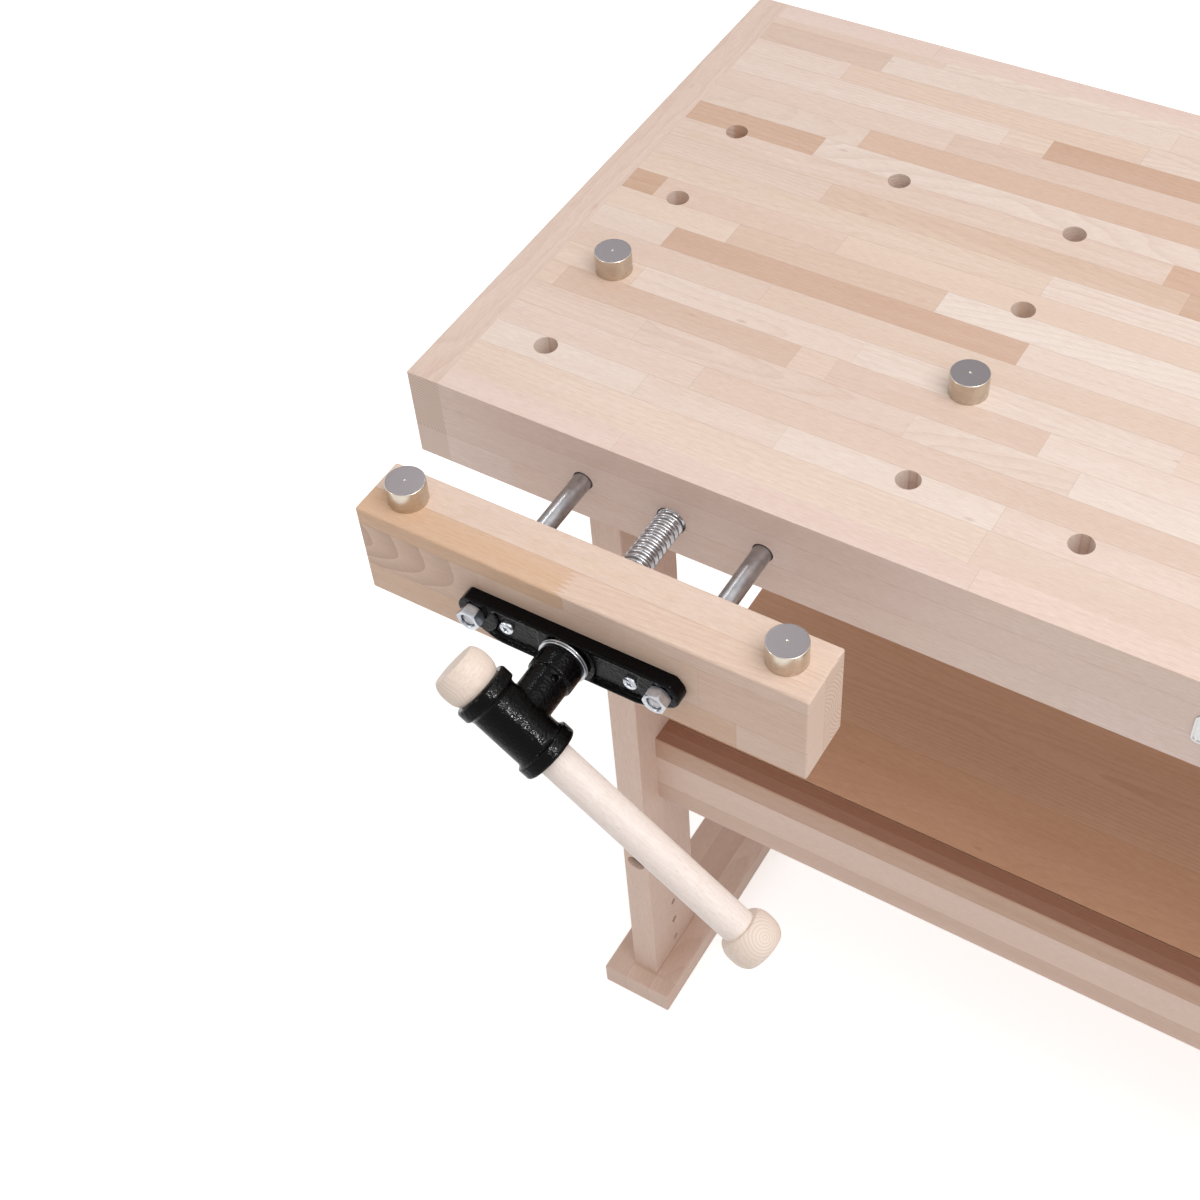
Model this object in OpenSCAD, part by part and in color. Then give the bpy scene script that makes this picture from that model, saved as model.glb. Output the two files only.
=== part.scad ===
// Woodworking bench with a front vise and a tail vise.
// Bench coordinates: x from the left end, y from the front face, z from the floor.
// Vise coordinates: x along the jaw, y into the bench, z up from the worktop's surface.

/* [Bench] */
// Length of the worktop
bench_l = 1400; // [1240:10:2200]
// Depth of the worktop
bench_w = 600; // [560:10:800]
// Height of the worktop above the floor
bench_h = 900; // [780:10:1000]
// Radius of the eased long edges
ease_r = 2; // [0.5:0.5:4]

/* [Worktop] */
// Thickness of the glued panel
panel_t = 30; // [24:1:31]
// Height of the aprons and end caps
apron_h = 88; // [84:1:110]
// Thickness of the aprons
apron_t = 23; // [18:1:26]
// Width of the end caps
cap_w = 31; // [26:1:34]
// Thickness of the tongue that joins the panel to the end caps
tongue_t = 10; // [6:1:14]
// Length of that tongue
tongue_l = 12; // [6:1:16]

/* [Dog holes] */
// Diameter of the dog holes
dog_hole_d = 20; // [19.6:0.1:24]
// Distance between a vise's two dog holes
dog_span = 320; // [280:5:340]
// Number of dog holes in line with each dog of the front vise
dog_rows = 4; // [2:1:5]
// Spacing of the dog holes along the worktop
dog_pitch = 135; // [100:5:180]
// Height of the peg hole in the front legs above the floor
peg_hole_z = 254; // [180:1:330]
// Depth of that peg hole
peg_hole_l = 60; // [30:1:70]

/* [Leg frames] */
// Thickness of a leg, along the bench
leg_t = 30; // [26:1:34]
// Depth of a leg, across the bench
leg_d = 87; // [75:1:95]
// Width of the feet and bearers
foot_w = 82; // [78:1:90]
// Height of the feet
foot_h = 31; // [28:1:40]
// Distance of a foot's end from the worktop's face
foot_in = 1; // [0:1:10]
// Thickness of the leg tenons
tenon_t = 12; // [8:1:16]
// Length of the leg tenons
tenon_l = 20; // [12:1:22]
// Inset of a tenon from the leg's narrow faces
tenon_in = 13; // [6:1:18]

/* [Stretchers and shelf] */
// Thickness of the stretchers
rail_t = 27; // [24:1:32]
// Height of the stretchers
rail_h = 100; // [90:1:120]
// Height of the stretchers' upper edge above the floor
rail_top = 450; // [420:1:520]
// Distance between the bolt and each dowel at a stretcher's end
bolt_pitch = 38; // [34:1:40]
// Height of the spare bolt holes in the legs above the floor
spare_z = 86.6; // [80:0.2:110]
// Thickness of the shelf
shelf_t = 15; // [12:1:20]
// Width and height of the shelf ledges
ledge_w = 18; // [14:1:20]

/* [Vises] */
// Distance of the front vise's middle from the left end
vise_x = 244; // [242:1:300]
// Distance of the tail vise's middle from the front face
tail_y = 238; // [230:1:300]
// Length of a jaw
jaw_l = 382; // [370:1:400]
// Thickness of a jaw
jaw_t = 54.5; // [45:0.5:60]
// Height of a jaw
jaw_h = 90.5; // [84:0.5:100]
// Opening of the front vise as it stands
front_open = 86.5; // [60:0.5:120]
// Opening of the tail vise as it stands
tail_open = 0.5; // [0.5:0.5:5]
// Widest opening of a vise
open_max = 145; // [130:1:150]
// Diameter of the guide rods
rod_d = 16; // [14:0.5:17]
// Distance between the two guide rods
rod_span = 160; // [150:1:165]
// Depth of the guide rods below the worktop's surface
rod_drop = 46.5; // [46:0.5:50]
// Diameter of the lead screw
screw_d = 24; // [21:0.5:26]
// Depth of the lead screw below the worktop's surface
screw_drop = 52; // [50:0.5:54]

/* [Vise plate] */
// Length of the cast plate past each guide rod's middle
plate_past = 15; // [13:0.5:20]
// Thickness of the plate
plate_t = 12; // [10:0.5:14]
// Depth of the plate's lower edge below the worktop's surface
plate_low = 71; // [68:0.5:75]
// Depth of the plate's recesses
pocket_t = 3.5; // [2:0.5:5]
// Width across flats of the rod nuts
nut_af = 18; // [16:0.5:19]
// Height of the rod nuts
nut_h = 10; // [8:0.5:12]

/* [Hub and handle] */
// Distance of the handle's axis from the jaw's front face
hub_out = 79; // [74:1:90]
// Diameter of the hub's stem
stem_d = 33.4; // [31:0.2:36]
// Length of the hub's cross tube
tube_l = 71; // [60:1:84]
// Diameter of the flanges at the tube's ends
flange_d = 47.6; // [45:0.2:54]
// Diameter of the handle bar
bar_d = 28; // [24:0.5:30]
// Length of the handle bar between its knobs
bar_l = 260; // [200:1:290]
// Diameter of the knobs
knob_d = 44; // [40:0.5:47]
// Length of the knobs
knob_l = 25; // [20:1:34]
// Slope of the front vise's handle below the level
front_slope = 36.8; // [0:0.1:90]
// Slope of the tail vise's handle below the level
tail_slope = 62; // [0:1:90]

/* [Bench dogs] */
// Diameter of a dog's head
dog_head_d = 31.5; // [28:0.5:36]
// Height of a dog's head
dog_head_h = 19.5; // [12:0.5:26]
// Length of a dog's stem
dog_stem_l = 60; // [40:1:75]

/* [Hidden] */
$fn = 48;
// Gaps: running fits, loose wood, drilled holes round metal; how far a cut runs past its face
run_gap = 0.05;
slide_gap = 0.5;
drill_gap = 1;
over = 1;

// Dogs and dog holes
dog_stem_d = dog_hole_d - 2 * slide_gap;
dog_ease = 1.5;
dog_xs = [vise_x - dog_span / 2, vise_x + dog_span / 2];
dog_ys = [tail_y - dog_span / 2, tail_y + dog_span / 2];
row_step = dog_span / (dog_rows - 1);
row_ys = [for (i = [0:dog_rows - 1]) dog_ys[0] + i * row_step];

// Leg frames: the front vise's outer guide rod runs along the groove in the left bearer
frame_x = vise_x - rod_span / 2;
run_end = bench_l - frame_x - foot_w / 2 - dog_hole_d;
run_xs = [for (x = [dog_xs[1] + dog_pitch:dog_pitch:run_end]) x];
panel_z = bench_h - panel_t;
skirt_z = bench_h - apron_h;
leg_y = apron_t;
leg_h = skirt_z - foot_h;
tenon_w = leg_d - 2 * tenon_in;
cheek_w = (foot_w - leg_t) / 2;
cheek_gap = 9;

// Coach screws through the bearers into the panel
coach_d = 8;
coach_head_d = 20;
coach_head_h = 6;
coach_hex_af = 13;
coach_sink = coach_head_h + 2 * drill_gap;
coach_bite = 20;
coach_x = (leg_t + cheek_w) / 2;
coach_y = leg_y + leg_d + coach_head_d;

// Stretchers and their fittings
rail_y = leg_y + (leg_d - rail_t) / 2;
rail_z = rail_top - rail_h / 2;
rail_x = frame_x + leg_t / 2;
rail_l = bench_l - 2 * rail_x;
bolt_d = 8;
bolt_head_d = 13;
bolt_head_h = 8;
bolt_socket_af = 6;
washer_d = 24;
washer_t = 2;
barrel_d = 14;
barrel_in = 45;
barrel_skin = 6;
barrel_end = 4;
dowel_d = 8;
dowel_l = 36;
dowel_in = 15;

// Shelf and ledges
shelf_y = rail_y + rail_t;
ledge_screw_d = 4;
ledge_screws_n = 5;
ledge_bite = 14;

// Guide plates behind the front apron and the right end cap
end_r = 13.2;
bearer_t = apron_h - rod_drop - end_r - slide_gap;
guide_t = 8;
guide_l = 38;
guide_boss_d = 2 * end_r - 2 * drill_gap;
nut_boss_d = 38;
nut_boss_l = 42;
guide_screw_d = 5;
guide_screw_l = 16;
guide_head_d = 11;
guide_head_h = 4;
guide_screw_shares = [0.32, 0.78];
guide_screw_from = nut_boss_d / 2;
guide_screw_run = (rod_span - guide_boss_d - nut_boss_d) / 2;

// Rods and lead screw; their inner ends lie this far behind the bench's face in a closed vise
inner_end = open_max + cap_w + nut_boss_l + 2 * guide_head_h;
rod_end_d = 12;
rod_end_sink = 3;
end_ease = 1.5;
neck_d = 20;
neck_play = 0.3;
hub_wall = 5;
neck_l = hub_out - bar_d / 2 - slide_gap - hub_wall;

// Vise plate
plate_l = rod_span + 2 * plate_past;
belly_r = 30;
belly_x = plate_l / 2 - 4 / 3 * belly_r;
rim_t = 3.5;
pad_r = 20;
boss_r = 24.5;
boss_t = 2;
seat_d = 2 * (screw_drop - rod_drop + end_r - drill_gap);
pin_d = 5;
pin_l = 38;
pin_head_d = 11;
pin_x = (rod_span - pin_head_d) / 2 - pad_r - drill_gap;
pin_head_h = 3.5;
ring_d = 34.8;
ring_t = 3.5;

// Hub
collar_d = 37;
collar_l = 17.5;
collar_y = plate_t + boss_t + ring_t + run_gap;
tube_d = 41;
flange_l = 10.5;
flange_fillet = 3.5;
flange_ease = 1.5;
hub_pin_d = 5;
hub_pin_y = 39.5;
hub_pin_sink = 2;

// Handle
bar_bore_d = bar_d + 2 * slide_gap;
knob_tenon_d = 18;
knob_tenon_l = 17;
knob_bulge = 3.5;
knob_steps = 6;
knob_rest = 0.3;
bar_from = -tube_l / 2 - knob_rest;

// Name plate, bare
name_l = 84;
name_h = 29;
name_t = 1.5;
name_r = 5;
name_rim = 1.5;
name_drop = 47;

// Middle of the object's box as it stands, which is the origin of the part
reach = jaw_t + hub_out + flange_d / 2;
mid_x = (bench_l + tail_open + reach) / 2;
mid_y = (bench_w - front_open - reach) / 2;

beech = [0.86, 0.75, 0.61];
pink_beech = [0.78, 0.66, 0.57];
pale_beech = [0.90, 0.82, 0.70];
shelf_brown = [0.56, 0.42, 0.32];
cast_black = [0.06, 0.06, 0.06];
zinc = [0.75, 0.77, 0.78];
steel = [0.62, 0.62, 0.64];

// Frames of reference. What is drawn for the left end or the front is mirrored to the other
module bench() translate([-mid_x, -mid_y, 0]) children();
module right_end() translate([bench_l, 0, 0]) mirror([1, 0, 0]) children();
module rear_side() translate([0, bench_w, 0]) mirror([0, 1, 0]) children();

module both_ends() {
    children();
    right_end() children();
}

module both_sides() {
    children();
    rear_side() children();
}

module front_vise() bench() translate([vise_x, 0, bench_h]) children();
module tail_vise() bench() translate([bench_l, tail_y, bench_h]) rotate([0, 0, 90]) children();

// A jaw's front face, in vise coordinates
module jaw_front(open) translate([0, -open - jaw_t, 0]) children();

// Bars with eased long edges, along x, y or z, from their lowest corner
module eased(w, h) {
    translate([ease_r, 0]) square([w - 2 * ease_r, h]);
    translate([0, ease_r]) square([w, h - 2 * ease_r]);
    for (x = [ease_r, w - ease_r], y = [ease_r, h - ease_r]) translate([x, y]) circle(ease_r);
}

module bar_x(l, w, h) rotate([90, 0, 90]) linear_extrude(l) eased(w, h);
module bar_y(w, l, h) translate([0, l, 0]) rotate([90, 0, 0]) linear_extrude(l) eased(w, h);
module bar_z(w, d, l) linear_extrude(l) eased(w, d);

// Round rods and holes along x or y, between two places on that axis
module round_x(y, z, from, to, d)
    translate([from, y, z]) rotate([0, 90, 0]) cylinder(h = to - from, d = d);

module round_y(x, z, from, to, d)
    translate([x, from, z]) rotate([-90, 0, 0]) cylinder(h = to - from, d = d);

// Worktop
module dog_holes() {
    for (x = dog_xs, y = row_ys) translate([x, y]) circle(d = dog_hole_d);
    for (x = run_xs, y = dog_ys) translate([x, y]) circle(d = dog_hole_d);
    translate([vise_x, dog_ys[1]]) circle(d = dog_hole_d);
}

module tongue()
    translate([cap_w - tongue_l, apron_t, panel_z + (panel_t - tongue_t) / 2])
        cube([tongue_l, bench_w - 2 * apron_t, tongue_t]);

module coach_places()
    both_ends() both_sides()
        for (s = [-1, 1]) translate([frame_x + s * coach_x, coach_y, 0]) children();

module top_panel() color(beech) bench() difference() {
    union() {
        translate([cap_w, apron_t, panel_z])
            cube([bench_l - 2 * cap_w, bench_w - 2 * apron_t, panel_t]);
        both_ends() tongue();
    }
    translate([0, 0, panel_z - over]) linear_extrude(panel_t + 2 * over) dog_holes();
    coach_places() translate([0, 0, panel_z - over]) cylinder(h = coach_bite + over, d = coach_d);
}

module apron()
    translate([cap_w, 0, skirt_z]) cube([bench_l - 2 * cap_w, apron_t, apron_h]);

module end_cap() difference() {
    translate([0, 0, skirt_z]) cube([cap_w, bench_w, apron_h]);
    tongue();
}

// The guide plate's screws lie between its nut boss and its rod bosses, from the wall's back
module guide_screw_places(wall)
    for (s = [-1, 1], share = guide_screw_shares)
        translate([s * (guide_screw_from + share * guide_screw_run), wall, -rod_drop]) children();

// Holes through a wall for rods, lead screw and the guide plate's screws, in vise coordinates
module wall_holes(wall) {
    for (s = [-1, 1])
        round_y(s * rod_span / 2, -rod_drop, -over, wall + over, rod_d + 2 * drill_gap);
    round_y(0, -screw_drop, -over, wall + over, screw_d + 2 * drill_gap);
    guide_screw_places(wall) round_y(0, 0, -guide_screw_l, over, guide_screw_d);
}

module front_apron() color(pink_beech) difference() {
    bench() apron();
    front_vise() wall_holes(apron_t);
}

module rear_apron() color(pink_beech) bench() rear_side() apron();
module left_end_cap() color(beech) bench() end_cap();

module right_end_cap() color(beech) difference() {
    bench() right_end() end_cap();
    tail_vise() wall_holes(cap_w);
}

module name_outline(inset) {
    r = name_r - inset;
    l = name_l - 2 * inset;
    h = name_h - 2 * inset;
    translate([-l / 2, r - h / 2]) square([l, h - 2 * r]);
    translate([r - l / 2, -h / 2]) square([l - 2 * r, h]);
    for (x = [r - l / 2, l / 2 - r], y = [r - h / 2, h / 2 - r]) translate([x, y]) circle(r);
}

module name_plate() color(steel) bench()
    translate([bench_l / 2, 0, bench_h - name_drop]) rotate([90, 0, 0]) difference() {
        linear_extrude(name_t) name_outline(0);
        translate([0, 0, name_t / 2]) linear_extrude(name_t) name_outline(name_rim);
    }

// Leg frames, drawn for the left end
module mortises(z)
    both_sides() translate([frame_x - tenon_t / 2, leg_y + tenon_in, z])
        cube([tenon_t, tenon_w, tenon_l + over]);

module foot() difference() {
    translate([frame_x - foot_w / 2, foot_in, 0]) bar_y(foot_w, bench_w - 2 * foot_in, foot_h);
    mortises(foot_h - tenon_l);
}

module left_foot() color(pink_beech) bench() foot();
module right_foot() color(pink_beech) bench() right_end() foot();

// A bearer is a board under the rods, with two cheeks up to the panel behind the guide plate
module bearer() {
    cheek_y = apron_t + nut_boss_l + cheek_gap;
    difference() {
        union() {
            translate([frame_x - foot_w / 2, apron_t, skirt_z])
                cube([foot_w, bench_w - 2 * apron_t, bearer_t]);
            for (x = [frame_x - foot_w / 2, frame_x + leg_t / 2])
                translate([x, cheek_y, skirt_z])
                    cube([cheek_w, bench_w - apron_t - cheek_y, apron_h - panel_t]);
        }
        mortises(skirt_z - over);
        both_sides() for (s = [-1, 1]) translate([frame_x + s * coach_x, coach_y, skirt_z - over]) {
            cylinder(h = apron_h, d = coach_d);
            cylinder(h = coach_sink + over, d = coach_head_d + 2 * drill_gap);
        }
    }
}

// Way across a bearer for a rod or lead screw of the tail vise, open to the top
module tail_way(x, drop, d) {
    w = d + 4 * drill_gap;
    translate([x - w / 2, 0, -drop - w / 2]) cube([w, bench_l / 2, drop + w / 2]);
}

module left_bearer() color(pink_beech) bench() bearer();

module right_bearer() color(pink_beech) difference() {
    bench() right_end() bearer();
    tail_vise() {
        for (s = [-1, 1]) tail_way(s * rod_span / 2, rod_drop, rod_d);
        tail_way(0, screw_drop, screw_d);
    }
}

module leg() difference() {
    union() {
        translate([frame_x - leg_t / 2, leg_y, foot_h]) bar_z(leg_t, leg_d, leg_h);
        translate([frame_x - tenon_t / 2, leg_y + tenon_in, foot_h - tenon_l])
            cube([tenon_t, tenon_w, leg_h + 2 * tenon_l]);
    }
    for (z = [spare_z, rail_z]) {
        round_x(leg_y + leg_d / 2, z, rail_x - leg_t - over, rail_x + over, bolt_d + drill_gap);
        for (s = [-1, 1])
            round_x(leg_y + leg_d / 2, z + s * bolt_pitch, rail_x - dowel_in, rail_x + over, dowel_d);
    }
}

module front_leg() difference() {
    leg();
    round_y(frame_x, peg_hole_z, leg_y - over, leg_y + peg_hole_l, dog_hole_d);
}

module left_front_leg() color(pink_beech) bench() front_leg();
module right_front_leg() color(pink_beech) bench() right_end() front_leg();
module left_rear_leg() color(pink_beech) bench() rear_side() leg();
module right_rear_leg() color(pink_beech) bench() rear_side() right_end() leg();

// Stretchers, their bolts and dowels, drawn for the front
module bolt_axis() translate([0, rail_y + rail_t / 2, rail_z]) children();
module four_ends() both_ends() both_sides() bolt_axis() children();

module ledge_screw_places() {
    step = (rail_l - 2 * barrel_in) / (ledge_screws_n - 1);
    for (i = [0:ledge_screws_n - 1])
        translate([rail_x + barrel_in + i * step, shelf_y, rail_top - shelf_t - ledge_w / 2])
            children();
}

module stretcher() difference() {
    translate([rail_x, rail_y, rail_top - rail_h]) bar_x(rail_l, rail_t, rail_h);
    both_ends() bolt_axis() {
        round_x(0, 0, rail_x - over, rail_x + barrel_in + barrel_d, bolt_d + drill_gap);
        for (s = [-1, 1])
            round_x(0, s * bolt_pitch, rail_x - over, rail_x + dowel_l - dowel_in, dowel_d);
        round_y(rail_x + barrel_in, 0, barrel_skin - rail_t / 2, rail_t / 2 + over, barrel_d);
    }
    ledge_screw_places() round_y(0, 0, -ledge_bite, over, ledge_screw_d);
}

module front_stretcher() color(pink_beech) bench() stretcher();
module rear_stretcher() color(pink_beech) bench() rear_side() stretcher();

module stretcher_bolts() color(zinc) bench() four_ends() difference() {
    seat = rail_x - leg_t - washer_t;
    union() {
        round_x(0, 0, seat, rail_x + barrel_in + barrel_d / 2 + over, bolt_d);
        round_x(0, 0, seat - bolt_head_h, seat, bolt_head_d);
    }
    translate([seat - bolt_head_h - over, 0, 0]) rotate([0, 90, 0])
        cylinder(h = bolt_head_h / 2 + over, d = bolt_socket_af / cos(30), $fn = 6);
}

module stretcher_washers() color(zinc) bench() four_ends() difference() {
    round_x(0, 0, rail_x - leg_t - washer_t, rail_x - leg_t, washer_d);
    round_x(0, 0, rail_x - leg_t - washer_t - over, rail_x - leg_t + over, bolt_d + 2 * run_gap);
}

module barrel_nuts() color(zinc) bench() four_ends() difference() {
    round_y(rail_x + barrel_in, 0, barrel_skin - rail_t / 2, rail_t / 2 - barrel_end,
        barrel_d - 2 * run_gap);
    round_x(0, 0, rail_x + barrel_in - barrel_d, rail_x + barrel_in + barrel_d,
        bolt_d + 2 * run_gap);
}

module stretcher_dowels() color(pale_beech) bench() four_ends()
    for (s = [-1, 1])
        round_x(0, s * bolt_pitch, rail_x - dowel_in, rail_x - dowel_in + dowel_l,
            dowel_d - 2 * run_gap);

// A countersunk screw through a ledge, thinner than its hole by a gap all round
module ledge_screw(gap) {
    head_l = ledge_screw_d / 2;
    d = ledge_screw_d - 2 * gap;
    round_y(0, 0, -ledge_bite, ledge_w - head_l, d);
    translate([0, ledge_w - head_l, 0]) rotate([-90, 0, 0])
        cylinder(h = head_l, d1 = d, d2 = d + 2 * head_l);
}

module ledge() difference() {
    translate([rail_x + slide_gap, shelf_y, rail_top - shelf_t - ledge_w])
        cube([rail_l - 2 * slide_gap, ledge_w, ledge_w]);
    ledge_screw_places() ledge_screw(0);
}

module front_ledge() color(beech) bench() ledge();
module rear_ledge() color(beech) bench() rear_side() ledge();
module ledge_screws() color(zinc) bench() both_sides() ledge_screw_places() ledge_screw(run_gap);

module shelf() color(shelf_brown) bench()
    translate([rail_x + slide_gap, shelf_y + slide_gap, rail_top - shelf_t])
        cube([rail_l - 2 * slide_gap, bench_w - 2 * shelf_y - 2 * slide_gap, shelf_t]);

module bearer_screws() color(zinc) bench() coach_places() translate([0, 0, skirt_z + coach_sink]) {
    cylinder(h = apron_h - panel_t - coach_sink + coach_bite, d = coach_d - 2 * run_gap);
    translate([0, 0, -coach_head_h])
        cylinder(h = coach_head_h - washer_t, d = coach_hex_af / cos(30), $fn = 6);
    translate([0, 0, -washer_t]) cylinder(h = washer_t, d = coach_head_d);
}

// Guide plate with two rod bosses and the nut, behind a wall of the bench
module guide_plate(wall) color(cast_black) difference() {
    union() {
        translate([0, wall + guide_t, -rod_drop]) rotate([90, 0, 0]) linear_extrude(guide_t) {
            translate([end_r - plate_l / 2, -end_r]) square([plate_l - 2 * end_r, 2 * end_r]);
            for (s = [-1, 1]) translate([s * (plate_l / 2 - end_r), 0]) circle(end_r);
        }
        for (s = [-1, 1])
            round_y(s * rod_span / 2, -rod_drop, wall, wall + guide_l, guide_boss_d);
        round_y(0, -screw_drop, wall, wall + nut_boss_l, nut_boss_d);
    }
    for (s = [-1, 1])
        round_y(s * rod_span / 2, -rod_drop, wall - over, wall + guide_l + over,
            rod_d + 2 * run_gap);
    round_y(0, -screw_drop, wall - over, wall + nut_boss_l + over, screw_d + 2 * run_gap);
    guide_screw_places(wall) round_y(0, 0, -over, guide_t + over, guide_screw_d);
}

module front_guide_plate() front_vise() guide_plate(apron_t);
module tail_guide_plate() tail_vise() guide_plate(cap_w);

module guide_plate_screws(wall) guide_screw_places(wall) {
    round_y(0, 0, -guide_screw_l, guide_t, guide_screw_d - 2 * run_gap);
    round_y(0, 0, guide_t, guide_t + guide_head_h, guide_head_d);
}

module guide_screws() color(zinc) {
    front_vise() guide_plate_screws(apron_t);
    tail_vise() guide_plate_screws(cap_w);
}

// Jaw of a vise; open is its distance from the bench
module jaw(open) color(beech) jaw_front(open) difference() {
    translate([-jaw_l / 2, 0, -jaw_h]) bar_x(jaw_l, jaw_t, jaw_h);
    for (s = [-1, 1]) {
        round_y(s * rod_span / 2, -rod_drop, -over, jaw_t + over, rod_d + 2 * run_gap);
        translate([s * dog_span / 2, jaw_t / 2, -jaw_h - over])
            cylinder(h = jaw_h + 2 * over, d = dog_hole_d);
        round_y(s * pin_x, -screw_drop, -over, pin_l, pin_d);
    }
    round_y(0, -screw_drop, -over, jaw_t + over, screw_d + 2 * drill_gap);
}

// Outline of the plate, flat along the top and curved below, drawn in by an inset
module plate_outline(inset) {
    intersection() {
        hull() for (s = [-1, 1]) {
            translate([s * (plate_l / 2 - end_r), -rod_drop]) circle(end_r - inset, $fn = 32);
            translate([s * belly_x, belly_r - plate_low]) circle(belly_r - inset);
        }
        translate([-plate_l / 2, -plate_low])
            square([plate_l, plate_low - rod_drop + end_r - inset]);
    }
}

// Recesses on both sides of the hub, the left one with a straight inner end
module pockets() difference() {
    plate_outline(rim_t);
    translate([0, -screw_drop]) circle(boss_r);
    translate([-boss_r, -plate_low]) square([boss_r, plate_low]);
    for (s = [0, 1]) mirror([s, 0]) {
        translate([rod_span / 2, -rod_drop]) circle(pad_r);
        translate([rod_span / 2, -plate_low]) square([plate_l / 2, plate_low]);
    }
}

// Cast plate on a jaw's front
module vise_plate(open) color(cast_black) jaw_front(open) difference() {
    union() {
        rotate([90, 0, 0]) linear_extrude(plate_t) plate_outline(0);
        round_y(0, -screw_drop, -plate_t - boss_t, -plate_t / 2, seat_d);
    }
    translate([0, pocket_t - plate_t, 0]) rotate([90, 0, 0]) linear_extrude(pocket_t + over) pockets();
    round_y(0, -screw_drop, -plate_t - boss_t - over, over, neck_d + 2 * run_gap);
    for (s = [-1, 1]) {
        round_y(s * rod_span / 2, -rod_drop, -plate_t - over, over, rod_end_d + 2 * run_gap);
        round_y(s * pin_x, -screw_drop, -plate_t - over, over, pin_d);
    }
}

module plate_screws(open) color(zinc) jaw_front(open) for (s = [-1, 1])
    translate([s * pin_x, pocket_t - plate_t, -screw_drop]) rotate([90, 0, 0]) {
        shank_l = plate_t - pocket_t + pin_l;
        translate([0, 0, -shank_l]) cylinder(h = shank_l, d = pin_d - 2 * run_gap);
        difference() {
            cylinder(h = pin_head_h, d1 = pin_head_d, d2 = pin_head_d - pin_head_h / 2);
            for (a = [0, 90]) rotate([0, 0, a])
                translate([-pin_d / 2, -pin_d / 8, pin_head_h / 2])
                    cube([pin_d, pin_d / 4, pin_head_h]);
        }
    }

module guide_rods(open) color(steel) jaw_front(open) for (s = [-1, 1]) {
    to = jaw_t + inner_end;
    round_y(s * rod_span / 2, -rod_drop, 0, to - end_ease, rod_d);
    round_y(s * rod_span / 2, -rod_drop, rod_end_sink - plate_t - nut_h, 0, rod_end_d);
    translate([s * rod_span / 2, to - end_ease, -rod_drop]) rotate([-90, 0, 0])
        cylinder(h = end_ease, d1 = rod_d, d2 = rod_d - 2 * end_ease);
}

module rod_nuts(open) color(zinc) jaw_front(open) for (s = [-1, 1])
    translate([s * rod_span / 2, -plate_t, -rod_drop]) rotate([90, 0, 0]) difference() {
        corner_d = nut_af / cos(30);
        intersection() {
            rotate([0, 0, 30]) cylinder(h = nut_h, d = corner_d, $fn = 6);
            cylinder(h = nut_h, d1 = nut_af + 2 * nut_h / tan(30), d2 = nut_af);
        }
        translate([0, 0, -over]) cylinder(h = nut_h + 2 * over, d = rod_end_d + 2 * run_gap);
    }

module ring(open) color(zinc) jaw_front(open) difference() {
    round_y(0, -screw_drop, -plate_t - boss_t - ring_t, -plate_t - boss_t, ring_d);
    round_y(0, -screw_drop, -plate_t - boss_t - ring_t - over, over, neck_d + 2 * run_gap);
}

// Frame of the hub: z is the handle's axis, pointing down its slope
module hub_frame(open, slope)
    jaw_front(open) translate([0, -hub_out, -screw_drop]) rotate([0, 90 + slope, 0]) children();

// Round pin or its hole across the hub's stem and the lead screw, square to the handle
module hub_cross(open, slope, l, d)
    jaw_front(open) translate([0, -hub_pin_y, -screw_drop]) rotate([0, slope, 0])
        cylinder(h = l, d = d, center = true);

// Lead screw: a plain cylinder over its thread, and a neck through the plate into the hub
module lead_screw(open, slope) color(steel) difference() {
    jaw_front(open) {
        to = jaw_t + inner_end;
        round_y(0, -screw_drop, neck_play, to - end_ease, screw_d);
        round_y(0, -screw_drop, -neck_l, neck_play, neck_d);
        translate([0, to - end_ease, -screw_drop]) rotate([-90, 0, 0])
            cylinder(h = end_ease, d1 = screw_d, d2 = screw_d - 2 * end_ease);
    }
    hub_cross(open, slope, collar_d, hub_pin_d);
}

// Half of the cross tube's outline, from its axis over the flange to the tube's wall
function tube_half() = [
    [0, tube_l / 2],
    [flange_d / 2 - flange_ease, tube_l / 2],
    [flange_d / 2, tube_l / 2 - flange_ease],
    for (a = [90:-15:0]) [
        flange_d / 2 - (flange_d - tube_d) / 2 * cos(a),
        tube_l / 2 - flange_l - flange_fillet * (1 - sin(a))
    ]
];

module hub(open, slope) color(cast_black) difference() {
    half = tube_half();
    union() {
        jaw_front(open) {
            round_y(0, -screw_drop, -collar_y - collar_l, -collar_y, collar_d);
            round_y(0, -screw_drop, -hub_out, -collar_y, stem_d);
        }
        hub_frame(open, slope) rotate_extrude()
            polygon(concat(half, [for (i = [len(half) - 1:-1:0]) [half[i][0], -half[i][1]]]));
    }
    hub_frame(open, slope) cylinder(h = tube_l + 2 * over, d = bar_bore_d, center = true);
    jaw_front(open) round_y(0, -screw_drop, -neck_l - run_gap, 0, neck_d + 2 * run_gap);
    hub_cross(open, slope, collar_d, hub_pin_d);
}

module hub_pin(open, slope) color(steel)
    hub_cross(open, slope, stem_d - 2 * hub_pin_sink, hub_pin_d - 2 * run_gap);

// Handle bar with a tenon for a knob at each end
module handle_bar(open, slope) color(pale_beech) hub_frame(open, slope)
    translate([0, 0, bar_from]) {
        cylinder(h = bar_l, d = bar_d);
        translate([0, 0, -knob_tenon_l])
            cylinder(h = bar_l + 2 * knob_tenon_l, d = knob_tenon_d);
    }

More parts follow.
